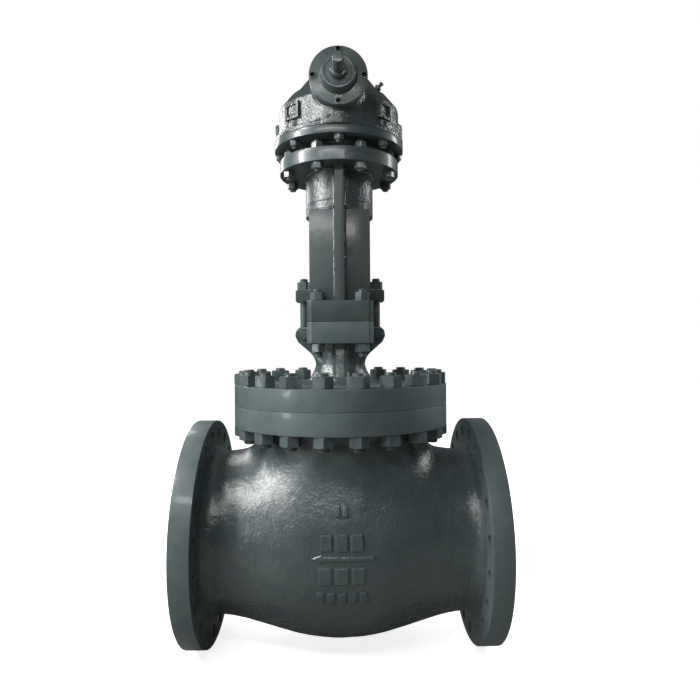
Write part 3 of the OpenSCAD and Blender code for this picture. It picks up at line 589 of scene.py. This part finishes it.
def place(ob, name, body, slot, replaces=(), angle=32, extra=(), material=None):
    """Puts a finished block into the frame, in metres, as a piece of the object."""
    ob.name = ob.data.name = name
    ob.data.transform(Matrix.Scale(0.001, 4) @ shift(0, 0, AXIS))
    bm = bmesh.new()
    bm.from_mesh(ob.data)
    bmesh.ops.remove_doubles(bm, verts=bm.verts, dist=2e-6)
    bm.to_mesh(ob.data)
    bm.free()
    slots = [p.material_index for p in ob.data.polygons]
    ob.data.materials.clear()
    for m in (material or MATERIALS[slot], *extra):
        ob.data.materials.append(m)
    ob.data.polygons.foreach_set("material_index", slots)
    ob.data.shade_smooth()
    ob.data.set_sharp_from_angle(angle=math.radians(angle))
    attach(ob, body)
    if replaces:
        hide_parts(*replaces)
    return ob


# ---------------------------------------------------------------- body

CROWN, NECK, NECK_X = 297.0, 232.0, 262.0
BARREL_R = (NECK_X ** 2 + (CROWN - NECK) ** 2) / (2 * (CROWN - NECK))
FACE_X, BACK_X, PIPE_R = 432.0, 374.8, 323.85
BODY_FLANGE, JOINT, BONNET_FLANGE, JOINT_R = 316.6, 377.5, 436.2, 312.85


def body_field(x, y, z):
    rho, far, round_z = np.hypot(y, z), np.abs(x), np.hypot(x, y)
    d = np.hypot(x, rho - (CROWN - BARREL_R)) - BARREL_R
    d = blend(d, np.maximum(rho - NECK, far - 402), 50)
    d = blend(d, np.maximum(np.maximum(round_z - 246, -z), z - 345), 46)
    d = blend(d, np.maximum(np.maximum(rho - 318, BACK_X + 1.2 - far), far - 402), 42)
    d = blend(d, np.maximum(np.maximum(round_z - 308, BODY_FLANGE + 1.5 - z), z - 345), 34)
    return np.maximum(np.maximum(d, far - 402), z - 345)


def barrel(crown, neck, x_neck, x_end, n=12, material=0):
    r = (x_neck ** 2 + (crown - neck) ** 2) / (2 * (crown - neck))
    side = [(crown - r + math.sqrt(r * r - (x_neck * i / n) ** 2), x_neck * i / n) for i in range(-n, n + 1)]
    return moved(turned([(0, -x_end), (neck, -x_end)] + side + [(neck, x_end), (0, x_end)], 72,
                        material=material), TO_PIPE)


body = cast(body_field, (-408, -326, -326), (408, 326, 352), 5.2, lumps=0.8, seed=3.0)
for side in (0, 180):
    flange = turned([(0, BACK_X), (PIPE_R, BACK_X), (PIPE_R, 430.4), (235, 430.4), (235, FACE_X),
                     (0, FACE_X)], 144, edge=2.2)
    boolean(body, [moved(flange, TO_PIPE, turn(side))], "UNION")
boolean(body, [turned([(0, BODY_FLANGE), (JOINT_R, BODY_FLANGE), (JOINT_R, JOINT), (0, JOINT)],
                      144, edge=2.6)], "UNION")

ARROW_Z, ARROW_TAIL, ARROW_NECK, ARROW_TIP, ARROW_HALF = 9, 78, -48, -72, 5
# Rows of plain raised blocks: height of the row, its width, height of a block, number of blocks
MARK_ROWS = ((124, 40, 34, 2), (45, 112, 38, 3), (-32, 120, 40, 3), (-90, 134, 30, 5))
MARK_GAP = 8


def bar(x0, x1, w):
    """Stations of a plain block with softened ends."""
    end = 2.2
    middle = [(x0 + (x1 - x0) * k / 6, w) for k in range(1, 6)]
    return [(x0, w - end), (x0 + end, w), *middle, (x1 - end, w), (x1, w - end)]


shaft = [(ARROW_NECK + (ARROW_TAIL - ARROW_NECK) * k / 6, ARROW_HALF) for k in range(6, -1, -1)]
marks = [mark(body_field, [(ARROW_TAIL + 1.5, ARROW_HALF - 2)] + shaft
              + [(ARROW_NECK - 1, 11), (ARROW_NECK - 12, 6), (ARROW_TIP, 0.8)], ARROW_Z)]
for z_mid, width, tall, count in MARK_ROWS:
    each = width / count
    for k in range(count):
        left = -width / 2 + k * each + MARK_GAP / 2
        marks.append(mark(body_field, bar(left, left + each - MARK_GAP, tall / 2), z_mid))
boolean(body, marks, "UNION")

cavity = barrel(266, 193.7, 290, 440, material=1)
boolean(cavity, [rod(206, 0, 390, 96, material=1)], "UNION")
part_x, slab_top, slab_low = 209, -25, -60
wall = slab([(-258, -290), (-218, -290), (-196, slab_low), (part_x + 32, slab_low), (part_x + 40, 0),
             (part_x + 40, 275), (part_x, 275), (part_x, 30), (part_x - 8, slab_top), (-236, slab_top)],
            -310, 310, 5, material=1)
boolean(cavity, [moved(wall, turn(90, "X"))])
boolean(body, [cavity])
boolean(body, [rod(176, -65, -20, 96, 1),
               turned([(211, 374.5), (233, 374.5), (233, 380), (211, 380)], 96, material=1)])
PIPE_RING = (20, 285.75, 9)
for side in (0, 180):
    holes = moved(copies(rod(17.45, 370, 436, 32, 3), ring_steps(*PIPE_RING)), TO_PIPE, turn(side))
    boolean(body, [holes])
JOINT_RING = (20, 284.5, 9)
STUDS = ring_steps(*JOINT_RING)
boolean(body, [copies(rod(17.5, 300, 390, 32, 1), STUDS)])
boolean(body, [copies(turned([(0, 262), (29, 262), (31, 266), (31, 317.6), (0, 317.6)], 40), STUDS)])
# Raised faces get bare metal; other flange and joint faces get the lighter copy of the paint, which paints
# light onto them
for p in body.data.polygons:
    if abs(p.center.x) > FACE_X - 1.4 and abs(p.normal.x) > 0.9:
        p.material_index = 2
    elif p.material_index == 0 and (abs(p.center.x) > BACK_X - 1 or p.center.z > BODY_FLANGE - 0.5):
        p.material_index = 3
place(body, "valve_body", "valve", "cast_paint", ["body"], extra=(RAW_CAST, RAISED_FACE, LIT_RIM_PAINT))

# ---------------------------------------------------------------- bonnet

FOOT_Z, FOOT_TOP, YOKE_TOP = 552.0, 612.6, 671.4
NECK_PROFILE = ([(0, 430), (150, 430)] + arc(114, BONNET_FLANGE + 27, 26, 270, 200, 8)
                + [(79, 472), (73, 490), (72, 508), (74, 530), (80, FOOT_Z), (80, 600), (0, 600)])
EYE_X, EYE_Z = 108.0, 578.0


def bonnet_field(x, y, z):
    far, deep = np.abs(x), np.abs(y)
    d = polygon_field(np.hypot(x, y), z, NECK_PROFILE)
    ear = polygon_field(far, z, [(30, 490), (66, 506), (EYE_X + 17, EYE_Z - 20), (EYE_X + 25, EYE_Z - 2),
                                 (EYE_X + 22, EYE_Z + 14), (EYE_X + 10, EYE_Z + 25), (30, EYE_Z + 25)])
    d = blend(d, np.maximum(ear, deep - 34), 22)
    web = polygon_field(deep, z, [(30, 428), (152, 428), (150, 440), (140, 454), (124, 490), (112, 560),
                                  (30, 560)])
    d = blend(d, np.maximum(web, far - 14), 20)
    d = blend(d, capped(np.hypot(x, y), 300, z, 424, BONNET_FLANGE - 1.5), 26)
    d = blend(d, cuboid(x, y, z, (-86, -138, FOOT_Z + 8), (86, 138, 604)), 12)
    return np.maximum(d, 427 - z)


def foot_outline():
    x, y, c = 93, 145, 12
    return [(x, y - c), (x - c, y), (c - x, y), (-x, y - c),
            (-x, c - y), (c - x, -y), (x - c, -y), (x, c - y)]


bonnet = cast(bonnet_field, (-310, -310, 422), (310, 310, 616), 4.2, lumps=0.6, seed=9.0)
boolean(bonnet, [turned([(0, 345), (205, 345), (205, JOINT), (JOINT_R, JOINT), (JOINT_R, BONNET_FLANGE),
                         (0, BONNET_FLANGE)], 144, edge=2.6)], "UNION")
boolean(bonnet, [slab(foot_outline(), FOOT_Z, FOOT_TOP, 3.2, 3)], "UNION")
for s in (-1, 1):
    boolean(bonnet, [box(*sorted((s * (EYE_X - 25), s * (EYE_X + 40))), -14.2, 14.2, 552.5, 640, 1.5)])
    boolean(bonnet, [moved(rod(10, -60, 60, 32), turn(90, "X"), shift(s * EYE_X, 0, EYE_Z))])
boolean(bonnet, [rod(54, 335, 395, 64, 1), rod(33.5, 340, 480, 64, 1), rod(50, 458, 640, 64, 1)])
FEET = [shift(x, y, 0) for x in (-62, 62) for y in (-122, 122)]
boolean(bonnet, [copies(rod(13, 545, 620, 32, 1), FEET), copies(rod(17.5, 370, 440, 32, 1), STUDS)])
# Flange rim and foot plate sides get the lighter copy of the paint, which paints light onto them
for p in bonnet.data.polygons:
    on_rim = p.center.z < BONNET_FLANGE + 0.5 and math.hypot(p.center.x, p.center.y) > 200
    if p.material_index == 0 and (on_rim or p.center.z > FOOT_Z + 0.5 and abs(p.center.y) > 60):
        p.material_index = 2
place(bonnet, "bonnet_casting", "valve", "cast_paint", ["bonnet"], extra=(RAW_CAST, LIT_RIM_PAINT))

# ---------------------------------------------------------------- fasteners

SPIN = [7, -11, 19, 3, -24, 13, -5, 27, -17, 9]  # how far each nut happens to stand from square


def ring_of_nuts(n, r, start, z, af, h, bore, down=False, base=0):
    nut = hex_nut(af, h, bore)
    steps = []
    for i in range(n):
        m = turn(start + 360 * i / n) @ shift(r, 0, z) @ turn(base + SPIN[(i * 3 + int(down)) % len(SPIN)])
        steps.append(m @ Matrix.Diagonal((1, 1, -1, 1)) if down else m)
    return copies(nut, steps)


place(copies(threaded(15.875, 275.6, 475.2, 3.175, [(274, 292), (458, 477)]), STUDS),
      "bonnet_stud_set", "valve", "fastener_paint", ["bonnet_studs"])
place(joined([ring_of_nuts(*JOINT_RING, BONNET_FLANGE, 50.8, 31, 15.875),
              ring_of_nuts(*JOINT_RING, BODY_FLANGE + 1, 50.8, 31, 15.875, True, 8)]),
      "bonnet_nut_set", "valve", "fastener_paint", ["bonnet_nuts"])
place(copies(threaded(12, 514, 703.4, 3, [(512, 534), (688, 706)]), FEET),
      "yoke_stud_set", "valve", "fastener_paint", ["yoke_studs"])
nuts = []
for k, m in enumerate(FEET):
    nuts.append(moved(hex_nut(36, 24, 12), turn(SPIN[k]), shift(0, 0, YOKE_TOP), m))
    nuts.append(moved(hex_nut(36, 24, 12), turn(SPIN[k + 4]), shift(0, 0, FOOT_Z - 24), m))
place(joined(nuts), "yoke_nut_set", "valve", "fastener_paint", ["yoke_nuts"])

# ---------------------------------------------------------------- yoke

LEG_TOP, COLLAR_Z, YOKE_FLANGE, YOKE_FLANGE_TOP = 935.0, 927.0, 1051.3, 1071.3
BASE_R, BASE_RING = 176, (8, 155, 22.5)
yoke = slab(foot_outline(), FOOT_TOP, YOKE_TOP, 3.0, 3)
collar = turned([(0, COLLAR_Z), (100, COLLAR_Z), (100, YOKE_FLANGE + 3), (0, YOKE_FLANGE + 3)], 96, edge=1.5)
legs = [moved(box(-86.5, 86.5, 78, 100, YOKE_TOP - 4, LEG_TOP, 2.2), turn(a)) for a in (0, 180)]
boolean(yoke, [collar] + legs, "UNION")
yoke_flange = turned([(0, YOKE_FLANGE), (174.8, YOKE_FLANGE), (BASE_R, YOKE_FLANGE + 1.2),
                      (BASE_R, YOKE_FLANGE_TOP), (0, YOKE_FLANGE_TOP)], 120)
ribs = [moved(box(-13, 13, 96, 135, YOKE_TOP - 3, YOKE_FLANGE + 2, 2.0), turn(a)) for a in (0, 180)]
boolean(yoke, [yoke_flange] + ribs, "UNION")
boolean(yoke, [rod(62, 600, 690, 72), rod(79, 915, 1090, 72), copies(rod(13, 605, 680, 32), FEET),
               copies(rod(10.5, 1045, 1080, 32), ring_steps(*BASE_RING))])
for p in yoke.data.polygons:
    rho = math.hypot(p.center.x, p.center.y)
    if COLLAR_Z - 1 < p.center.z < YOKE_FLANGE and 95 < rho < 100.5:
        p.material_index = 1
place(yoke, "yoke_frame", "valve", "machined_paint", ["yoke"], extra=(LUMPY,))

welds = []
for a in (0, 180):
    part = []
    for s in (-1, 1):
        part.append(bead([(s * 14.5, 101.5, YOKE_TOP + 3), (s * 14.5, 101.5, LEG_TOP + 2)], 4.6, seed=a + s))
        part.append(bead([(s * 14.5, 100.5, LEG_TOP + 6), (s * 14.5, 100.5, YOKE_FLANGE - 3)], 4.2,
                         seed=a + s + 9))
        part.append(bead([(s * 17, 101.5, YOKE_TOP + 1), (s * 84, 101.5, YOKE_TOP + 1)], 4.4, seed=a + s + 4))
        part.append(bead([(s * 88, 99, YOKE_TOP + 1), (s * 88, 79, YOKE_TOP + 1)], 3.8, seed=a + s + 14))
        ring = [(101 * math.sin(math.radians(t)), 101 * math.cos(math.radians(t)), LEG_TOP + 1.5)
                for t in (np.linspace(9, 51, 12) * s)]
        part.append(bead(ring, 4.6, seed=a + s + 21))
    welds += [moved(b, turn(a)) for b in part]
circle = [(101 * math.cos(t), 101 * math.sin(t)) for t in np.linspace(0, TAU, 73)[:-1]]
welds.append(bead([(x, y, YOKE_FLANGE - 2) for x, y in circle], 3.6, True, seed=31))
for turned_by in (0, 180):
    for s in (-1, 1):
        ring = [(100 * math.sin(math.radians(t)), 100 * math.cos(math.radians(t)), 964 - 0.02 * abs(t))
                for t in np.linspace(9, 66, 14) * s]
        welds.append(moved(bead(ring, 2.5, seed=37 + s + turned_by), turn(turned_by)))
place(joined(welds), "yoke_welds", "valve", "machined_paint", material=WELD, angle=60)

# ---------------------------------------------------------------- gland and eye bolts

gland = slab([(131, 32), (-131, 32), (-131, -32), (131, -32)], 678, 713, 2.2)
boolean(gland, [turned([(0, 678), (68, 678), (68, 713), (0, 713)], 64, edge=2.2)], "UNION")
for s in (-1, 1):
    slope = moved(box(0, 60, -60, 60, 0, 30, 0), turn(15, "Y"), shift(EYE_X + 10, 0, 713))
    tools = [slope, box(EYE_X, 150, -13.5, 13.5, 660, 730, 0), rod(13.5, 660, 730, 32)]
    moved(tools[2], shift(EYE_X, 0, 0))
    if s < 0:
        tools = [moved(t, turn(180)) for t in tools]
    boolean(gland, tools)
boolean(gland, [rod(33.5, 670, 720, 64), rod(58.2, 670, 686, 64)])
place(gland, "gland_follower", "valve", "machined_paint", ["gland_flange"])

for name, s in (("left", -1), ("right", 1)):
    eye = moved(turned([(0, -13), (21, -13), (21, 13), (0, 13)], 40, edge=2.5), turn(90, "X"))
    boolean(eye, [threaded(12, 5, 169, 3, [(115, 172)])], "UNION")
    boolean(eye, [moved(rod(10.05, -40, 40, 32), turn(90, "X"))])
    place(moved(eye, shift(s * EYE_X, 0, EYE_Z)), "eye_bolt_%s_rod" % name, "eye_bolt_" + name,
          "fastener_paint", ["eye_bolt_" + name])
    place(moved(hex_nut(36, 24, 12), turn(11 * s), shift(s * EYE_X, 0, 713.5)), "gland_nut_%s_hex" % name,
          "eye_bolt_" + name, "fastener_paint", ["gland_nut_" + name])
pins = [moved(turned([(0, -41), (13.5, -41), (13.5, -35), (10, -35), (10, 35), (13.5, 35), (13.5, 41),
                      (0, 41)], 32, edge=1.0), turn(90, "X"), shift(s * EYE_X, 0, EYE_Z)) for s in (-1, 1)]
place(joined(pins), "eye_bolt_pin_pair", "valve", "fastener_paint", ["eye_bolt_pins"])

# ---------------------------------------------------------------- operator base and gear case

OP_TOP, PLATE_Z, PLATE_TOP, RACE_Z = 1088.9, 1119.0, 1141.0, 1112.0
PLATE_R, SPIGOT_R, NECK_R, CASE_RING, CASE_TOP = 191, 151.8, 125, (8, 174, 0), 1346
CAP_RING, COVER_RING = (4, 68, 0), (4, 54, 45)
# The lower edge is kept sharp by a point close above it, since paint covers the joint with the yoke
base = turned([(60, 1063.3), (79, 1063.3), (79, YOKE_FLANGE_TOP), (BASE_R, YOKE_FLANGE_TOP),
               (BASE_R, YOKE_FLANGE_TOP + 0.05), (BASE_R, OP_TOP), (NECK_R + 9, OP_TOP),
               (NECK_R + 2.5, OP_TOP + 2.5), (NECK_R, OP_TOP + 9), (NECK_R, PLATE_Z - 8),
               (NECK_R + 2.5, PLATE_Z - 2), (NECK_R + 9, PLATE_Z), (PLATE_R, PLATE_Z), (PLATE_R, PLATE_TOP),
               (SPIGOT_R, PLATE_TOP), (SPIGOT_R, 1147), (79, 1147), (79, RACE_Z), (60, RACE_Z)],
              120, edge=1.6)
boolean(base, [copies(rod(10.5, 1065, 1095, 32), ring_steps(*BASE_RING)),
               copies(rod(8.5, 1110, 1145, 24), ring_steps(*CASE_RING))])
place(base, "operator_base_casting", "valve", "machined_paint", ["operator_base"])

place(copies(threaded(10, 1026.3, 1113.9, 2.5, [(1025, 1036), (1104, 1115)]), ring_steps(*BASE_RING)),
      "operator_stud_set", "valve", "fastener_paint", ["operator_studs"])
place(joined([ring_of_nuts(*BASE_RING, OP_TOP, 30, 18, 10),
              ring_of_nuts(*BASE_RING, YOKE_FLANGE, 30, 18, 10, True)]),
      "operator_nut_set", "valve", "fastener_paint", ["operator_nuts"])
place(copies(threaded(8, 1096, 1161, 2, [(1095, 1106)]), ring_steps(*CASE_RING)),
      "case_stud_set", "valve", "fastener_paint", ["case_studs"])
place(ring_of_nuts(*CASE_RING, PLATE_Z, 24, 16, 8, True), "case_nut_set", "valve", "fastener_paint",
      ["case_nuts"])

DRUM_R = 178
DRUM = ([(0, 1130), (DRUM_R, 1130)] + arc(DRUM_R - 16, 1230, 16, 0, 50, 5)
        + [(150, 1271), (128, 1288), (92, 1334), (66, 1341), (66, CASE_TOP), (0, CASE_TOP)])


def case_field(x, y, z):
    rho, out = np.hypot(x, y), -y
    rho_s = np.hypot(x, z - SHAFT_Z)
    d = polygon_field(rho, z, DRUM)
    d = blend(d, capped(rho, 186, z, 1130, 1150), 12)
    for k in range(4):
        for a, r, top, fillet in ((90 * k, 17, 1205, 9), (90 * k + 45, 15, 1173, 6)):
            boss_x, boss_y = 174 * math.cos(math.radians(a)), 174 * math.sin(math.radians(a))
            d = blend(d, capped(np.hypot(x - boss_x, y - boss_y), r, z, 1130, top), fillet)
    d = blend(d, cuboid(x, y, z, (-58, -172, 1100), (58, -60, SHAFT_Z), 30), 24)
    d = blend(d, cuboid(x, y, z, (-48, -190, 1100), (48, -60, SHAFT_Z), 40), 30)
    d = blend(d, capped(rho_s, 66, out, -60, 189), 24)
    for side in (-25, 25):
        d = blend(d, cuboid(x, y, z, (side - 8, -195, 1158), (side + 8, -150, 1163), 1), 3)
    return np.maximum(d, 1142 - z)


case = cast(case_field, (-200, -204, 1136), (200, 200, 1354), 3.1, lumps=0.5, seed=21.0)
boolean(case, [turned([(0, PLATE_TOP), (PLATE_R, PLATE_TOP), (PLATE_R, PLATE_TOP + 11), (0, PLATE_TOP + 11)],
                      120, edge=1.6),
               moved(turned([(0, 184), (72, 184), (78, 191), (78, 205), (0, 205)], 72, edge=1.4), TO_SHAFT),
               turned([(0, 1338), (66, 1338), (66, CASE_TOP), (0, CASE_TOP)], 64, edge=1.0)], "UNION")
for a in (-45, -135, 45, 135):
    pad = box(145, 186, -27, 27, 1177, 1223, 2.2)
    boolean(pad, [box(181, 200, -18, 18, 1185, 1215, 1.0)])
    boolean(case, [moved(pad, turn(a))], "UNION")
inside = turned([(0, 1140), (SPIGOT_R, 1140), (SPIGOT_R, 1240), (142, 1264), (120, 1276), (84, 1322),
                 (0, 1322)], 96, material=1)
boolean(inside, [turned([(54, 1232), (84, 1232), (84, 1330), (54, 1330)], 64, material=1)])
boolean(case, [inside, moved(rod(50, 85, 206, 64, 1), TO_SHAFT), rod(40, 1300, 1360, 64, 1),
               copies(rod(8, 1140, 1162, 24, 1), ring_steps(*CASE_RING)),
               copies(rod(4, 1332, 1352, 16, 1), ring_steps(*COVER_RING))])
boolean(case, [moved(copies(rod(6, 192, 222, 24, 1), ring_steps(*CAP_RING)), TO_SHAFT),
               moved(rod(5, -20, 20, 24, 1), turn(48, "Y"), shift(118, 0, 1298), turn(-20))])
# The gear case wears the darker copy of the paint, which paints shade onto it
place(case, "gear_case_casting", "valve", "cast_paint", ["gear_case"], extra=(RAW_CAST,),
      material=SHADED_CASE_PAINT)

# ---------------------------------------------------------------- bearing cap, input shaft, small parts

cap = turned([(36, 200), (50, 200), (50, 205), (78, 205), (78, 220), (50, 220), (44, 246), (36, 246),
              (36, 236), (24, 236), (24, 203), (36, 203)], 72, edge=1.6)
boolean(cap, [copies(rod(6.5, 190, 230, 24), ring_steps(*CAP_RING)),
              copies(turned([(0, 212), (9.6, 212), (9.6, 219.2), (11, 221), (0, 221)], 32),
                     ring_steps(*CAP_RING))])
place(moved(cap, TO_SHAFT), "bearing_cap_cover", "valve", "machined_paint", ["bearing_cap"])
screw = turned([(0, 193), (6, 193), (6, 212), (9, 212), (9, 222), (0, 222)], 32, edge=0.8)
# The socket faces take slot 1, the near-black painted shade
boolean(screw, [slab(hexagon(7.3), 214, 230, 0, material=1)])
place(moved(copies(screw, ring_steps(*CAP_RING)), TO_SHAFT), "cap_screw_set", "valve", "fastener_paint",
      ["cap_screws"], extra=(SOCKET_SHADE,))

shaft = turned([(0, 98), (18, 98), (20, 100), (20, 138), (27.5, 138), (27.5, 198), (22.5, 199), (22.5, 262),
                (15, 262), (15, 320), (0, 320)], 64, edge=1.4)
moved(shaft, TO_SHAFT)
pinion_keyway = box(-5, 5, -134, -106, SHAFT_Z + 15, SHAFT_Z + 23, 0)
end_keyway = box(-4, 4, -321, -296, SHAFT_Z + 11, SHAFT_Z + 16, 0.6)
boolean(shaft, [pinion_keyway, end_keyway])
place(shaft, "input_shaft_bar", "pinion", "machined_paint", ["input_shaft"])

cover = turned([(38, CASE_TOP), (62, CASE_TOP), (62, 1354), (46, 1354), (46, 1419), (40, 1425), (0, 1425),
                (0, 1417), (38, 1417)], 64, edge=1.4)
boolean(cover, [copies(rod(4.2, 1340, 1360, 20), ring_steps(*COVER_RING))])
place(cover, "stem_cover_cap", "valve", "machined_paint", ["stem_cover"])
head = boolean(slab(hexagon(7.4), 1354, 1359, 0.5), [rod(4, 1334, 1356, 20)], "UNION")
place(copies(head, ring_steps(*COVER_RING)), "cover_screw_set", "valve", "fastener_paint", ["cover_screws"])

nipple = turned([(0, -12), (5, -12), (5, 7), (4, 8), (3.2, 16), (4.4, 19), (3.6, 23), (0, 24)], 24, edge=0.4)
boolean(nipple, [slab(hexagon(8), 4, 10, 0.6)], "UNION")
moved(nipple, Matrix.Diagonal((1.45, 1.45, 1.1, 1)))
place(moved(nipple, turn(48, "Y"), shift(118, 0, 1298), turn(-20)), "grease_nipple", "valve",
      "fastener_paint", ["grease_fitting"])

# ---------------------------------------------------------------- CAD nodes shown as they are

PAINTED_OVER = ("shaft_seal", "stem_guide_front", "stem_guide_rear")
for name, ob in NODES.items():
    if ob.hide_render:
        continue
    slot = next(s["material_slot"] for s in frame["record"]["subparts"] if s["node"] == name)
    ob.data.materials.clear()
    ob.data.materials.append(MATERIALS["machined_paint" if name in PAINTED_OVER else slot])
    weld = ob.modifiers.new("weld", "WELD")
    weld.merge_threshold = 1e-6
    bevel = ob.modifiers.new("edges", "BEVEL")
    bevel.width, bevel.segments, bevel.limit_method, bevel.angle_limit = 0.0005, 2, "ANGLE", math.radians(40)

# ---------------------------------------------------------------- stage, light and camera


def seen_white(tree, dim, white):
    """Mixes two shaders: the camera sees white, and the object is lit by dim."""
    mix = tree.nodes.new("ShaderNodeMixShader")
    tree.links.new(tree.nodes.new("ShaderNodeLightPath").outputs["Is Camera Ray"], mix.inputs[0])
    tree.links.new(dim, mix.inputs[1])
    tree.links.new(white, mix.inputs[2])
    return mix.outputs[0]


s = Shader("studio_paper")
grain = s.bump(s.noise(220, 2), 0.05)
tone = s.mix(s.ramp(s.noise(1.4, 3), 0.3, 0.7), (0.88, 0.88, 0.88), (0.92, 0.92, 0.92))
lit = s.node("ShaderNodeBsdfDiffuse", {"Color": tone, "Normal": grain}).outputs[0]
away = s.calc("SQRT", s.calc("ADD", s.calc("POWER", s.axis(0), 2), s.calc("POWER", s.axis(1), 2)))
glow = s.node("ShaderNodeEmission", {"Color": (1, 1, 1, 1),
                                     "Strength": s.ramp(away, 0.8, 2.6, 0.76, 1.0)}).outputs[0]
white = s.node("ShaderNodeAddShader", {0: lit, 1: glow}).outputs[0]
dim = s.node("ShaderNodeBsdfDiffuse", {"Color": (0.22, 0.22, 0.22, 1)}).outputs[0]
s.node("ShaderNodeOutputMaterial", {"Surface": seen_white(s.tree, dim, white)})
# The floor is a flat disc, glowing more towards its rim so that it meets the white behind it
FLOOR_R, FLOOR_RINGS, FLOOR_SIDES = 14.0, 8, 48
verts = [(0, 0, 0)] + [(FLOOR_R * i / FLOOR_RINGS * math.cos(TAU * k / FLOOR_SIDES),
                        FLOOR_R * i / FLOOR_RINGS * math.sin(TAU * k / FLOOR_SIDES), 0)
                       for i in range(1, FLOOR_RINGS + 1) for k in range(FLOOR_SIDES)]
faces = [[0, 1 + k, 1 + (k + 1) % FLOOR_SIDES] for k in range(FLOOR_SIDES)]
for i in range(FLOOR_RINGS - 1):
    for k in range(FLOOR_SIDES):
        a, b = 1 + i * FLOOR_SIDES + k, 1 + i * FLOOR_SIDES + (k + 1) % FLOOR_SIDES
        faces.append([a, a + FLOOR_SIDES, b + FLOOR_SIDES, b])
floor = block(verts, faces)
floor.name = "studio_floor"
floor.data.materials.append(s.mat)
floor.location.z = -0.0005

world = bpy.data.worlds.new("studio")
scene.world = world
world.use_nodes = True
room = world.node_tree.nodes["Background"]
room.inputs[0].default_value, room.inputs[1].default_value = (0.86, 0.94, 1.0, 1), 0.095
bright = world.node_tree.nodes.new("ShaderNodeBackground")
bright.inputs[0].default_value, bright.inputs[1].default_value = (1, 1, 1, 1), 1.0
world.node_tree.links.new(seen_white(world.node_tree, room.outputs[0], bright.outputs[0]),
                          world.node_tree.nodes["World Output"].inputs[0])


def softbox(name, where, target, w, h, watts, glossy=True):
    light = bpy.data.lights.new(name, "AREA")
    light.shape, light.size, light.size_y, light.energy = "RECTANGLE", w, h, watts
    ob = bpy.data.objects.new(name, light)
    scene.collection.objects.link(ob)
    ob.location = where
    ob.rotation_euler = (Vector(target) - Vector(where)).to_track_quat("-Z", "Y").to_euler()
    ob.visible_camera, ob.visible_glossy = False, glossy


softbox("window", (-2.0, -0.6, 2.05), (0, 0, 0.75), 0.42, 0.5, 31)
softbox("side_window", (-2.0, -1.05, 1.65), (0, 0, 0.75), 0.22, 0.36, 12)
softbox("high_window", (-1.6, -0.9, 2.45), (0, 0, 0.75), 0.36, 0.3, 16)
softbox("low_window", (-2.0, -1.5, 0.8), (0, 0, 0.5), 0.3, 0.3, 5)
softbox("skylight", (-0.5, -2.1, 2.2), (0, -0.2, 0.5), 1.9, 0.18, 19)
softbox("rear_window", (-1.5, 1.8, 2.2), (0, 0, 0.8), 0.6, 1.0, 14)
softbox("right_lamp", (2.3, 0.9, 2.2), (0, 0, 0.9), 0.5, 0.5, 10)
softbox("front_fill", (-2.3, -2.2, 0.8), (0, 0, 0.4), 1.8, 1.2, 24, glossy=False)
softbox("side_fill", (2.9, 1.2, 1.6), (0, 0, 0.7), 2.0, 2.0, 84, glossy=False)
softbox("rear_fill", (-0.8, 3.0, 1.8), (0, 0, 0.7), 2.0, 2.0, 62, glossy=False)

camera = bpy.data.objects.new("camera", bpy.data.cameras.new("camera"))
scene.collection.objects.link(camera)
camera.data.lens, camera.data.sensor_width = 30.2, 36
camera.data.clip_start, camera.data.clip_end = 0.05, 60
camera.location = (0.0019, -1.7655, 0.85755)
camera.rotation_euler = (Matrix.Rotation(-0.0152, 4, "Z") @ Matrix.Rotation(math.pi / 2, 4, "X")
                         @ Matrix.Rotation(-0.0076, 4, "Z")).to_euler()
scene.camera = camera
scene.view_settings.view_transform = "Standard"
